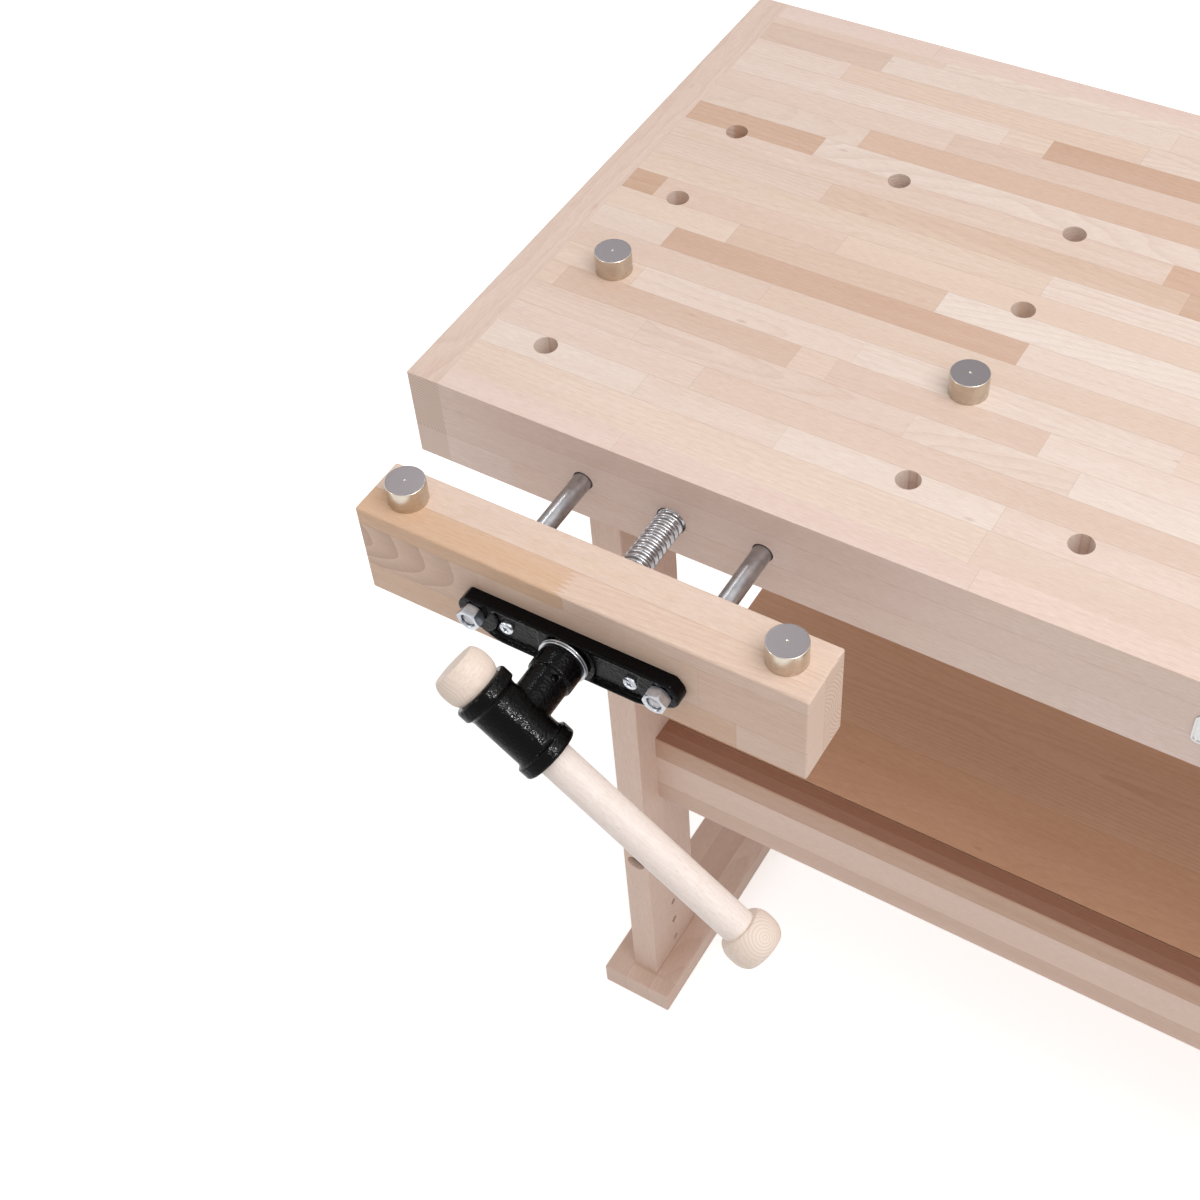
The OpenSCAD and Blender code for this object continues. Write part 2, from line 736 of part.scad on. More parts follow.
// Barrel-shaped knob standing on the plane z = 0, its mortise open downwards
module knob() difference() {
    arc_r = (knob_l * knob_l / 4 + knob_bulge * knob_bulge) / (2 * knob_bulge);
    half_a = asin(knob_l / 2 / arc_r);
    rotate_extrude() polygon([
        [0, 0],
        for (i = [-knob_steps:knob_steps]) [
            knob_d / 2 - arc_r * (1 - cos(i * half_a / knob_steps)),
            knob_l / 2 + arc_r * sin(i * half_a / knob_steps)
        ],
        [0, knob_l]
    ]);
    translate([0, 0, -over]) cylinder(h = knob_tenon_l + over, d = knob_tenon_d + 2 * run_gap);
}

module upper_knob(open, slope) color(pale_beech) hub_frame(open, slope)
    translate([0, 0, bar_from]) mirror([0, 0, 1]) knob();

module lower_knob(open, slope) color(pale_beech) hub_frame(open, slope)
    translate([0, 0, bar_from + bar_l]) knob();

// Bench dog whose head stands on the plane z = 0, its stem below
module dog() color(zinc) {
    translate([0, 0, dog_ease - dog_stem_l]) cylinder(h = dog_stem_l - dog_ease, d = dog_stem_d);
    translate([0, 0, -dog_stem_l])
        cylinder(h = dog_ease, d1 = dog_stem_d - 2 * dog_ease, d2 = dog_stem_d);
    cylinder(h = dog_head_h - dog_ease, d = dog_head_d);
    translate([0, 0, dog_head_h - dog_ease])
        cylinder(h = dog_ease, d1 = dog_head_d, d2 = dog_head_d - 2 * dog_ease);
}

module jaw_dog(s) front_vise() jaw_front(front_open) translate([s * dog_span / 2, jaw_t / 2, 0]) dog();
module bench_dog(x) bench() translate([x, row_ys[1], bench_h]) dog();

top_panel();
front_apron();
rear_apron();
left_end_cap();
right_end_cap();
name_plate();
left_foot();
right_foot();
left_bearer();
right_bearer();
left_front_leg();
left_rear_leg();
right_front_leg();
right_rear_leg();
front_stretcher();
rear_stretcher();
stretcher_bolts();
stretcher_washers();
barrel_nuts();
stretcher_dowels();
front_ledge();
rear_ledge();
ledge_screws();
shelf();
bearer_screws();
front_guide_plate();
tail_guide_plate();
guide_screws();
front_vise() jaw(front_open);  // front_jaw
front_vise() vise_plate(front_open);  // front_plate
front_vise() plate_screws(front_open);  // front_plate_screws
front_vise() guide_rods(front_open);  // front_guide_rods
front_vise() rod_nuts(front_open);  // front_rod_nuts
front_vise() ring(front_open);  // front_ring
front_vise() lead_screw(front_open, front_slope);  // front_screw
front_vise() hub(front_open, front_slope);  // front_hub
front_vise() hub_pin(front_open, front_slope);  // front_hub_pin
front_vise() handle_bar(front_open, front_slope);  // front_handle_bar
front_vise() upper_knob(front_open, front_slope);  // front_upper_knob
front_vise() lower_knob(front_open, front_slope);  // front_lower_knob
tail_vise() jaw(tail_open);  // tail_jaw
tail_vise() vise_plate(tail_open);  // tail_plate
tail_vise() plate_screws(tail_open);  // tail_plate_screws
tail_vise() guide_rods(tail_open);  // tail_guide_rods
tail_vise() rod_nuts(tail_open);  // tail_rod_nuts
tail_vise() ring(tail_open);  // tail_ring
tail_vise() lead_screw(tail_open, tail_slope);  // tail_screw
tail_vise() hub(tail_open, tail_slope);  // tail_hub
tail_vise() hub_pin(tail_open, tail_slope);  // tail_hub_pin
tail_vise() handle_bar(tail_open, tail_slope);  // tail_handle_bar
tail_vise() upper_knob(tail_open, tail_slope);  // tail_upper_knob
tail_vise() lower_knob(tail_open, tail_slope);  // tail_lower_knob
jaw_dog(-1);  // jaw_dog_left
jaw_dog(1);  // jaw_dog_right
bench_dog(dog_xs[0]);  // bench_dog_left
bench_dog(dog_xs[1]);  // bench_dog_right
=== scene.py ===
"""Looks of a free-standing beech workbench with a front vise and a tail vise.

The frame's own solids keep their shapes and get finishes whose patterns follow the wood's grain
and the metal's making. Turned, threaded and cast pieces are made anew over them.
"""

import logging
import math
from dataclasses import dataclass, field
from enum import Enum
from typing import Callable, Optional, Sequence, Union

import bmesh
import bpy
import numpy as np
from mathutils import Matrix, Vector


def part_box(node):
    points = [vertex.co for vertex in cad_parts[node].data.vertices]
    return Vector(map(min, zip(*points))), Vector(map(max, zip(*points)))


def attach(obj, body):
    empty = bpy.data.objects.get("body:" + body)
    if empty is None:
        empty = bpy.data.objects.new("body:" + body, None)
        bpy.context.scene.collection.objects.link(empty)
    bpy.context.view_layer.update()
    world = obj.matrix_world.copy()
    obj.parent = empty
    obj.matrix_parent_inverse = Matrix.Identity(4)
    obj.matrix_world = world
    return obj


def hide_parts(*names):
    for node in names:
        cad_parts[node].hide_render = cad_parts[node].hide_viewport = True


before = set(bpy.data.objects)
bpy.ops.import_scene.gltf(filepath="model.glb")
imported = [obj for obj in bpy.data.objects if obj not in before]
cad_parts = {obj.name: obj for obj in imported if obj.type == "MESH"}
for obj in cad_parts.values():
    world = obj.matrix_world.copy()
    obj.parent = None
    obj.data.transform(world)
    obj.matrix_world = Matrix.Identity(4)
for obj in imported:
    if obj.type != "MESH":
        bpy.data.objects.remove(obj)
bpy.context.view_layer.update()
LOG = logging.getLogger("workbench")
Colour = tuple[float, float, float]
Socket = bpy.types.NodeSocket
Material = bpy.types.Material
Piece = bpy.types.Object
MM = 0.001
UP = Vector((0, 0, 1))

# The bench's left front corner at the floor, in the part's frame
CORNER = Vector((-0.7789, -0.1781, 0.0))
BENCH_L, BENCH_H = 1.4, 0.9


def srgb(red: float, green: float, blue: float) -> Colour:
    """Turns a colour written in screen values of 0 to 255 into linear light.

    Args:
        red: Red screen value.
        green: Green screen value.
        blue: Blue screen value.

    Returns:
        The linear colour, each channel c being ((c + 0.055) / 1.055) to the power 2.4.
    """
    return tuple(c / 12.92 if c <= 0.04045 else ((c + 0.055) / 1.055) ** 2.4
                 for c in (red / 255, green / 255, blue / 255))


class Grain(Enum):
    """Direction in which a piece's wood fibres run."""

    X = Vector((1, 0, 0))
    Y = Vector((0, 1, 0))
    Z = Vector((0, 0, 1))


# ---- Node recipes


def math_node(operation: str) -> Callable[..., "Value"]:
    """Makes a method that works one Math node on a value and up to two more operands."""
    def method(self: "Value", *others: "Number") -> "Value":
        """Adds the node and returns its result."""
        return self.recipe.math(operation, self, *others)
    return method


class Value:
    """A number, vector or colour that a material's nodes work out, open to plain arithmetic.

    A product has no node until it is used, so that what is added to it shares its node.
    """

    def __init__(self, recipe: "Recipe", made: Optional[Socket], *factors: "Number") -> None:
        """Holds a node's output, or the two factors of a product."""
        self.recipe, self.made, self.factors = recipe, made, factors

    __truediv__, __pow__ = math_node("DIVIDE"), math_node("POWER")
    __gt__, __lt__ = math_node("GREATER_THAN"), math_node("LESS_THAN")
    __abs__, floor, fract = math_node("ABSOLUTE"), math_node("FLOOR"), math_node("FRACT")
    fold, least, most = math_node("PINGPONG"), math_node("MINIMUM"), math_node("MAXIMUM")

    @property
    def socket(self) -> Socket:
        """The output that carries the value."""
        if self.made is None:
            self.made = self.recipe.math("MULTIPLY", *self.factors).made
        return self.made

    def __mul__(self, other: "Number") -> "Value":
        """Product with another value or a number."""
        return Value(self.recipe, None, self, other)

    def __add__(self, other: "Number") -> "Value":
        """Sum, in one node with the product on its left, if there is one."""
        if self.factors:
            return self.recipe.math("MULTIPLY_ADD", *self.factors, other)
        return self.recipe.math("ADD", self, other)

    __radd__ = __add__

    def __sub__(self, other: "Number") -> "Value":
        """Difference, where a number taken off a product shares its node."""
        if self.factors and not isinstance(other, Value):
            return self + -other
        return self.recipe.math("SUBTRACT", self, other)

    def __rsub__(self, other: float) -> "Value":
        """A number less this value."""
        return self.recipe.math("SUBTRACT", other, self)

    def clamped(self) -> "Value":
        """The value kept between 0 and 1."""
        self.socket.node.use_clamp = True
        return Value(self.recipe, self.socket)


Number = Union[Value, float]


class Recipe:
    """A material under construction, with short calls for the nodes its pattern needs."""

    def __init__(self, name: str) -> None:
        """Starts an empty material with a shader and an output."""
        self.material = bpy.data.materials.new(name)
        self.material.use_nodes = True
        self.nodes, self.links = self.material.node_tree.nodes, self.material.node_tree.links
        self.nodes.clear()
        self.shader = self.nodes.new("ShaderNodeBsdfPrincipled")
        self.output = self.nodes.new("ShaderNodeOutputMaterial")
        self.links.new(self.shader.outputs["BSDF"], self.output.inputs["Surface"])
        place = self.nodes.new("ShaderNodeTexCoord")
        self.spot, self.normal = (Value(self, place.outputs[name]) for name in ("Object", "Normal"))

    def feed(self, socket: Socket, value: object) -> None:
        """Links a socket to a value, or sets what it holds."""
        if isinstance(value, Value):
            self.links.new(value.socket, socket)
        else:
            socket.default_value = value

    def set(self, name: str, value: object) -> None:
        """Feeds one of the shader's sockets."""
        self.feed(self.shader.inputs[name], value)

    def node(self, kind: str, output: Union[int, str], inputs: dict, **settings: str) -> Value:
        """Adds a node.

        Args:
            kind: The node's type.
            output: Number or name of the output that is wanted.
            inputs: What its inputs get, by number or name.
            **settings: The node's own settings.

        Returns:
            The wanted output.
        """
        node = self.nodes.new(kind)
        for name, value in settings.items():
            setattr(node, name, value)
        for name, value in inputs.items():
            self.feed(node.inputs[name], value)
        return Value(self, node.outputs[output])

    def math(self, operation: str, *operands: Number) -> Value:
        """Adds one Math node on up to three operands."""
        return self.node("ShaderNodeMath", 0, dict(enumerate(operands)), operation=operation)

    def step(self, value: Number, start: float, end: float) -> Value:
        """Smooth change from 0 at start to 1 at end."""
        return self.node("ShaderNodeMapRange", 0, {0: value, 1: start, 2: end},
                         interpolation_type="SMOOTHSTEP")

    def root(self, a: Value, b: Value) -> Value:
        """Root of a^2 + b^2."""
        return self.math("SQRT", a * a + b * b)

    def stairs(self, place: Value, edges: Sequence[float], levels: Sequence[float]) -> Number:
        """Number that goes from one level to the next at each edge."""
        level: Number = levels[0]
        for edge, low, high in zip(edges, levels, levels[1:]):
            level = (place > edge) * (high - low) + level
        return level

    def vector(self, x: Number, y: Number, z: Number) -> Value:
        """Joins three numbers into a vector."""
        return self.node("ShaderNodeCombineXYZ", 0, {0: x, 1: y, 2: z})

    def split(self, vector: Value) -> list[Value]:
        """Takes a vector apart."""
        node = self.nodes.new("ShaderNodeSeparateXYZ")
        self.feed(node.inputs[0], vector)
        return [Value(self, output) for output in node.outputs]

    def scaled(self, vector: Value, by: Sequence[float]) -> Value:
        """Multiplies a vector by three numbers."""
        return self.node("ShaderNodeVectorMath", 0, {0: vector, 1: by}, operation="MULTIPLY")

    def mix(self, share: Number, a: object, b: object, blend: str = "MIX") -> Value:
        """Mixes two colours.

        Args:
            share: How much of the second colour there is, from 0 to 1.
            a: First colour, a value or three numbers.
            b: Second colour.
            blend: The node's way of mixing.

        Returns:
            The mixed colour.
        """
        a, b = (colour if isinstance(colour, Value) else (*colour, 1) for colour in (a, b))
        return self.node("ShaderNodeMix", 2, {0: share, 6: a, 7: b}, data_type="RGBA",
                         blend_type=blend)

    def noise(self, place: Value, scale: float, detail: float = 2, rough: float = 0.5) -> Value:
        """Smooth noise around 0.5."""
        return self.node("ShaderNodeTexNoise", "Fac", {
            "Vector": place, "Scale": scale, "Detail": detail, "Roughness": rough})

    def chance(self, *numbers: Number) -> list[Value]:
        """Three random numbers that belong to three given ones."""
        place = self.vector(*numbers)
        return self.split(self.node("ShaderNodeTexWhiteNoise", "Color", {"Vector": place}))

    def cells(self, place: Value, scale: float) -> Value:
        """Distance to the nearest of scattered points."""
        return self.node("ShaderNodeTexVoronoi", "Distance", {"Vector": place, "Scale": scale})

    def bump(self, height: Value, depth: float, strength: float) -> None:
        """Raises the surface by a height of 0 to 1 times depth, in metres."""
        self.set("Normal", self.node("ShaderNodeBump", "Normal", {
            "Strength": strength, "Distance": depth, "Height": height}))


# Colours in the beech, and the scales of its patterns along and square to the fibres, per metre
ROSY, GOLDEN, FIBRE_TINT = srgb(240, 214, 204), srgb(248, 228, 198), srgb(214, 186, 166)
LATE_WOOD, FIGURE_WOOD, FLECK_WOOD = srgb(166, 120, 94), srgb(164, 128, 112), srgb(166, 122, 98)
KNOT_WOOD, END_RING, GLUE = srgb(150, 112, 84), srgb(150, 114, 92), srgb(150, 108, 80)
FIBRE_SCALE, STREAK_SCALE, CLOUD_SCALE = (105, 900, 900), (2.4, 60, 60), (5, 16, 16)
FLECK_SCALE, KNOT_SCALE = (150, 1000, 1000), (11, 30, 30)
FINGER_W = 2.1 * MM


@dataclass(frozen=True)
class Stave:
    """One stave whose place and tone are given rather than left to chance.

    Attributes:
        band: Number of its band across the grain, counted from 0.
        layer: Number of its layer, counted from 0.
        start: Where it starts along the grain, in metres.
        end: Where it ends.
        tone: 0 for the palest wood, 1 for the darkest.
    """

    band: int
    layer: int
    start: float
    end: float
    tone: float


@dataclass(frozen=True)
class Shell:
    """Shell-like figure of a flat-sawn stave: arcs round a point beyond its end.

    Attributes:
        along: Place of the arcs' middle along the grain, in metres.
        through: Place of their middle across the grain.
        pitch: Distance between two arcs.
        reach: Distance at which the arcs fade out.
        low: Lower edge of the stave that shows them.
        high: Upper edge of that stave.
    """

    along: float
    through: float
    pitch: float
    reach: float
    low: float
    high: float


@dataclass(frozen=True)
class Timber:
    """Finish of a piece of beech, plain or glued up from staves.

    Attributes:
        name: The material's name.
        grain: Direction of the fibres.
        pale: Colour of the palest staves.
        deep: Colour of the darkest staves.
        pitch: Width of equal staves, or 0 where cuts gives the glue lines.
        first: Place of the first glue line of equal staves.
        cuts: Glue lines across the first axis square to the grain, in metres.
        layers: Glue lines across the second one.
        layer_tones: Tone of each layer, or nothing where chance picks it.
        stave: Usual length of a stave, or 0 where each runs from end to end.
        fingers: Depth of the finger joints between stave ends, or 0 for straight ones.
        saw_through: Whether the fingers show on the faces that the layers' lines show on.
        known: Staves with a given place.
        seed: Number that picks another set of staves.
        variety: How much the staves differ.
        figure: How strongly growth rings show.
        flecks: How strongly the fine dark flecks show.
        rings: Growth rings in a metre.
        end_rings: How strongly rings show on each band's end, or nothing where chance picks it.
        turned: Direction that stands in for the grain on a slanted piece.
        heart: Point that the log's heart passes through, where it shows.
        upper: Colour that multiplies the faces that look up, as painted shade on them, where they
            lie in shade.
        shell: Shell-like figure, where one shows.
    """

    name: str
    grain: Grain
    pale: Colour = srgb(236, 225, 217)
    deep: Colour = srgb(203, 172, 150)
    pitch: float = 0.0
    first: float = 0.0
    cuts: tuple[float, ...] = ()
    layers: tuple[float, ...] = ()
    layer_tones: tuple[float, ...] = ()
    stave: float = 0.0
    fingers: float = 0.0
    saw_through: bool = False
    known: tuple[Stave, ...] = ()
    seed: float = 0.0
    variety: float = 1.0
    figure: float = 0.5
    flecks: float = 0.5
    rings: float = 290.0
    end_rings: tuple[float, ...] = ()
    turned: Optional[Vector] = None
    heart: Optional[Vector] = None
    upper: Optional[Colour] = None
    shell: Optional[Shell] = None

    def bands(self, place: Value, cuts: Sequence[float]) -> tuple[Number, Number]:
        """Counts the glue lines below a place and finds the distance to the nearest.

        Args:
            place: Coordinate across the glue lines.
            cuts: Places of the glue lines.

        Returns:
            The band's number and the distance in metres, or two plain numbers without cuts.
        """
        band, near = 0.0, 1.0
        for cut in cuts:
            band, near = (place > cut) + band, abs(place - cut).least(near)
        return band, near

    def even_bands(self, place: Value) -> tuple[Value, Value]:
        """Numbers equal staves, the first of which also takes what lies before its glue line.

        Args:
            place: Coordinate across the glue lines.

        Returns:
            The band's number and the distance to the nearest glue line, in metres.
        """
        past, half = place - self.first, self.pitch / 2
        return (past / self.pitch).floor().most(0.0), past.fold(half) + (past < half)

    def ends(self, recipe: Recipe, along: Value, saw: Value, band: Number, layer: Number,
             tone: Number) -> tuple[Number, Number, Number]:
        """Divides each lane into staves: random lengths first, then the known staves over them.

        Args:
            recipe: Material in the making.
            along: Coordinate along the grain.
            saw: Coordinate along which the finger joints zigzag.
            band: The lane's band number.
            layer: The lane's layer number.
            tone: Tone of the lane.

        Returns:
            The stave's number in its lane, the distance to its nearest end and its tone.
        """
        if not self.stave:
            return 0.0, 1.0, tone
        if self.fingers:
            along = saw.fold(FINGER_W) * (self.fingers / FINGER_W) + along
        lane_1, lane_2, _ = recipe.chance(band, layer, self.seed)
        length = lane_1 * self.stave + self.stave * 0.6
        count = along / length + lane_2 * 9.7
        number, away = count.floor(), count.fold(0.5) * length
        own, more, _ = recipe.chance(number, band, self.seed + 2.0)
        dark = recipe.step(own, 0.84, 1.0) * (0.5 * self.variety)
        tone = dark + (more * (0.34 * self.variety) + tone)
        for index, stave in enumerate(self.known):
            inside = (along > stave.start) * (along < stave.end)
            for place, wanted in ((band, stave.band), (layer, stave.layer)):
                if isinstance(place, Value):
                    inside = inside * recipe.math("COMPARE", place, wanted, 0.3)
            edge = (along - stave.start).least(stave.end - along)
            number, away, tone = (inside * (new - old) + old for new, old in (
                (50.0 + index, number), (edge, away), (stave.tone, tone)))
        return number, away, tone

    def growth(self, recipe: Recipe, across: Value, through: Value, along: Value,
               own: Sequence[Value], cloud: Value) -> Value:
        """Draws growth rings: cylinders round a heart that runs at a slight slant through the log.

        The distance to the heart is the root of side^2 + deep^2, and each ring darkens towards
        its outer edge.

        Args:
            recipe: Material in the making.
            across: First coordinate square to the grain.
            through: Second coordinate square to the grain.
            along: Coordinate along the grain.
            own: Three random numbers of the stave.
            cloud: Noise that bends the rings.

        Returns:
            Darkness of the rings, from 0 to 1.
        """
        if self.heart is not None:
            centre = self.turned.rotation_difference(self.grain.value) @ self.heart
            side, deep = across - centre.x, through - centre.y
        else:
            side = (own[0] * 0.11 + across).fold(0.05)
            deep = (own[1] * 0.07 + through + (own[2] * 0.16 - 0.08) * along).fold(0.09)
        phase = ((cloud * (5.0 / self.rings) + recipe.root(side, deep)) * self.rings).fract()
        return phase ** 2.5 * recipe.step(1.0 - phase, 0.0, 0.08)

    def arcs(self, recipe: Recipe, along: Value, through: Value, cloud: Value) -> Value:
        """Draws the shell-like figure: each arc darkens towards its outer edge.

        Args:
            recipe: Material in the making.
            along: Coordinate along the grain.
            through: Coordinate across the stave.
            cloud: Noise that bends the arcs.

        Returns:
            Darkness of the figure, from 0 to 1.
        """
        shell = self.shell
        side, rise = along - shell.along, through - shell.through
        away = recipe.root(side, rise.least(0.0) * 1.7 + rise * 1.15)
        phase = ((cloud * 0.022 + away) / shell.pitch).fract()
        inside = (through > shell.low) * (through < shell.high)
        near = 1.0 - recipe.step(away, 0.6 * shell.reach, shell.reach)
        return inside * near * ((phase * 0.7 + 0.15) * recipe.step(1.0 - phase, 0.0, 0.06))

    def make(self) -> Material:
        """Builds the finish.

        Returns:
            The material, whose pattern is read from Object coordinates.
        """
        recipe = Recipe(self.name)
        axis, spot = self.grain.value, recipe.spot
        if self.turned is not None:
            rotation = self.turned.rotation_difference(axis).to_euler()
            spot = recipe.node("ShaderNodeMapping", 0, {"Vector": spot, "Rotation": rotation})
            axis = self.turned
        x, y, z = recipe.split(spot)
        along, across, through = {
            Grain.X: (x, y, z), Grain.Y: (y, x, z), Grain.Z: (z, x, y)}[self.grain]

        # Lanes between the glue lines, and the staves in each lane
        band, near = self.even_bands(across) if self.pitch else self.bands(across, self.cuts)
        layer, near_layer = self.bands(through, self.layers)
        tone = recipe.stairs(through, self.layers, self.layer_tones or (0.08,))
        saw = through if self.saw_through else across
        number, end, tone = self.ends(recipe, along, saw, band, layer, tone)
        own = own_1, own_2, own_3 = recipe.chance(number * 3.1 + band, layer, self.seed + 5.0)
        near = recipe.math("MINIMUM", recipe.math("MINIMUM", near, near_layer), end * 1.5)

        # Short fibres, streaks, clouds, flecks and pin knots, each stave at its own offset
        place = recipe.vector(along, own_1 * 3.0 + across, own_2 * 3.0 + through)
        fibre = recipe.noise(recipe.scaled(place, FIBRE_SCALE), 1.0, 2, 0.6)
        streak, cloud = (recipe.noise(recipe.scaled(place, scale), 1.0)
                         for scale in (STREAK_SCALE, CLOUD_SCALE))
        fleck, knot = (
            1.0 - recipe.step(recipe.cells(recipe.scaled(place, scale), 1.0), *fade)
            for scale, fade in ((FLECK_SCALE, (0.06, 0.30)), (KNOT_SCALE, (0.02, 0.075))))
        late = self.growth(recipe, across, through, along, own, cloud)
        facing = recipe.node("ShaderNodeVectorMath", "Value", {0: recipe.normal, 1: axis},
                             operation="DOT_PRODUCT")
        cross = recipe.step(abs(facing), 0.55, 0.8)

        # Colour: the stave's own tone and hue, then rings, figure, fibres, flecks and knots
        tone = (cloud * 0.22 + (streak * 0.30 - 0.14 + tone)).clamped()
        ringed = own_2 * own_2 * (0.34 * self.figure) + 0.07 * self.figure
        stains = [((own_3 * (0.32 * self.variety)).clamped(), ROSY, "MULTIPLY"),
                  (recipe.step(own_1, 0.55, 1.0) * (0.3 * self.variety), GOLDEN, "MULTIPLY"),
                  (late * ringed, LATE_WOOD, "MIX")]
        if self.shell is not None:
            stains.append((self.arcs(recipe, along, through, cloud) * 0.62, FIGURE_WOOD, "MIX"))
        stains += [((fibre * 0.60 - 0.16).clamped(), FIBRE_TINT, "MULTIPLY"),
                   (fleck * (0.30 * self.flecks), FLECK_WOOD, "MIX"),
                   (knot * (0.34 * self.variety), KNOT_WOOD, "MIX")]
        colour = recipe.mix(tone, self.pale, self.deep)
        for share, tint, blend in stains:
            colour = recipe.mix(share, colour, tint, blend)

        # End grain, the painted shade on the upper side and the glue lines
        strong = (recipe.stairs(across, self.cuts, self.end_rings) if self.end_rings
                  else recipe.step(own_2, 0.3, 0.6) * 0.52 + 0.12)
        end_tone = recipe.mix(late * strong, self.pale, END_RING)
        end_tone = recipe.mix(tone * 0.35 + 0.22, end_tone, self.deep)
        colour = recipe.mix(cross * 0.86, colour, end_tone)
        # Painted shade: faces that look up are multiplied by the upper colour
        if self.upper is not None:
            up = recipe.split(recipe.normal)[2]
            colour = recipe.mix(recipe.step(up, 0.85, 0.97), colour, self.upper, "MULTIPLY")
        glue = 1.0 - recipe.step(near, 0.08 * MM, 0.50 * MM)
        recipe.set("Base Color", recipe.mix(glue * 0.26, colour, GLUE))
        recipe.set("Roughness", cross * 0.15 + (fibre * 0.16 + 0.42))
        recipe.set("Specular IOR Level", 0.32)
        recipe.bump(fibre * 0.4 - (glue * 0.6 + fleck * 0.12), 0.12 * MM, 0.7)
        return recipe.material


@dataclass(frozen=True)
class BlackCasting:
    """Gloss black paint over a sand-cast surface.

    Attributes:
        name: The material's name.
        colour: Colour of the paint.
        thin: Its colour in the thin spots.
    """

    name: str = "black_casting"
    colour: Colour = srgb(6, 5, 6)
    thin: Colour = srgb(16, 14, 15)

    def make(self) -> Material:
        """Builds the finish.

        Returns:
            The material, lumpy at three scales, with thin spots in the gloss.
        """
        recipe = Recipe(self.name)
        sand, lump, swell = (recipe.noise(recipe.spot, scale, 1) for scale in (1500, 430, 90))
        grit = recipe.step(recipe.noise(recipe.spot, 640, 2, 0.6), 0.50, 0.72)
        recipe.set("Base Color", recipe.mix(recipe.step(sand, 0.50, 0.78), self.colour, self.thin))
        recipe.set("Roughness", recipe.step(lump, 0.35, 0.7) * 0.08 + 0.11)
        recipe.set("Specular IOR Level", 0.09)
        recipe.bump(grit * 0.03 + (lump * 0.65 + swell * 0.6), 0.7 * MM, 1.0)
        return recipe.material


@dataclass(frozen=True)
class BrightMetal:
    """Bare or plated metal with marks of its making.

    Attributes:
        name: The material's name.
        colour: Colour of the reflection.
        tint: Second colour, in soft clouds.
        rough: Roughness of the clean metal.
        marks: Depth of the fine marks, in metres.
        lathe: Whether the marks are the rings that a lathe leaves, along the piece's own profile.
        crown: Colour of the faces that look up, which also get a rougher finish: painted shade that
            darkens them, where one is given.
    """

    name: str
    colour: Colour
    tint: Colour
    rough: float = 0.28
    marks: float = 0.02 * MM
    lathe: bool = False
    crown: Optional[Colour] = None

    def make(self) -> Material:
        """Builds the finish.

        Returns:
            The material, with clouds in its plating, fine marks and darker spots.
        """
        recipe = Recipe(self.name)
        if self.lathe:
            line = recipe.node("ShaderNodeAttribute", "Fac", {}, attribute_name="turning")
            path = recipe.vector(line, 0.0, 0.0)
            marks = recipe.noise(path, 420, 1) * 0.6 + recipe.noise(path, 1900, 2, 0.6) * 0.4
        else:
            marks = recipe.noise(recipe.spot, 900, 2, 0.6)
        cloud = recipe.step(recipe.noise(recipe.spot, 140), 0.35, 0.7)
        colour = recipe.mix(cloud, self.colour, self.tint)
        rough = marks * 0.16 + (self.rough - 0.08)
        # Painted shade: faces that look up take the darker crown colour, with a rougher finish
        if self.crown is not None:
            crown = recipe.step(recipe.split(recipe.normal)[2], 0.90, 0.98)
            colour, rough = recipe.mix(crown, colour, self.crown), crown * 0.16 + rough
        spots = recipe.step(marks, 0.5, 0.75) * 0.22
        recipe.set("Base Color", recipe.mix(spots, colour, srgb(128, 128, 130)))
        recipe.set("Metallic", 1.0)
        recipe.set("Roughness", rough)
        recipe.bump(marks, self.marks, 0.8)
        return recipe.material


# ---- Shapes from numpy grids


def circle(count: int) -> np.ndarray:
    """Angles of evenly spaced points round a circle, as one row."""
    return np.linspace(0, 2 * math.pi, count, endpoint=False)[None, :]


def placed(name: str, data: bpy.types.ID) -> Piece:
    """Makes an object of a mesh, camera or lamp and links it to the scene."""
    made = bpy.data.objects.new(name, data)
    bpy.context.scene.collection.objects.link(made)
    return made


def meshed(name: str, work: bmesh.types.BMesh) -> bpy.types.Mesh:
    """Turns a mesh in the making into a finished one."""
    mesh = bpy.data.meshes.new(name)
    work.to_mesh(mesh)
    work.free()
    return mesh


def rounded(points: Sequence[tuple[float, float]], radii: Sequence[float],
            steps: int = 4) -> np.ndarray:
    """Rounds the corners of an open profile.

    Each inner corner becomes a quadratic curve that leaves both sides at its radius's distance:
    (1-t)^2 a + 2 t (1-t) corner + t^2 b.

    Args:
        points: The profile's corners, as (radius, height).
        radii: Distance cut off at each inner corner; 0 keeps it sharp.
        steps: Segments of each rounded corner.

    Returns:
        The rounded profile, one point per row.
    """
    p = np.array(points, float)
    rows = [p[:1]]
    t = np.linspace(0, 1, steps + 1)[:, None]
    for before, corner, after, radius in zip(p[:-2], p[1:-1], p[2:], radii):
        if radius <= 0:
            rows.append(corner[None])
            continue
        to_a, to_b = before - corner, after - corner
        len_a, len_b = np.linalg.norm(to_a), np.linalg.norm(to_b)
        cut = min(radius, 0.49 * len_a, 0.49 * len_b)
        a, b = corner + to_a / len_a * cut, corner + to_b / len_b * cut
        rows.append((1 - t) ** 2 * a + 2 * t * (1 - t) * corner + t ** 2 * b)
    rows.append(p[-1:])
    return np.concatenate(rows)


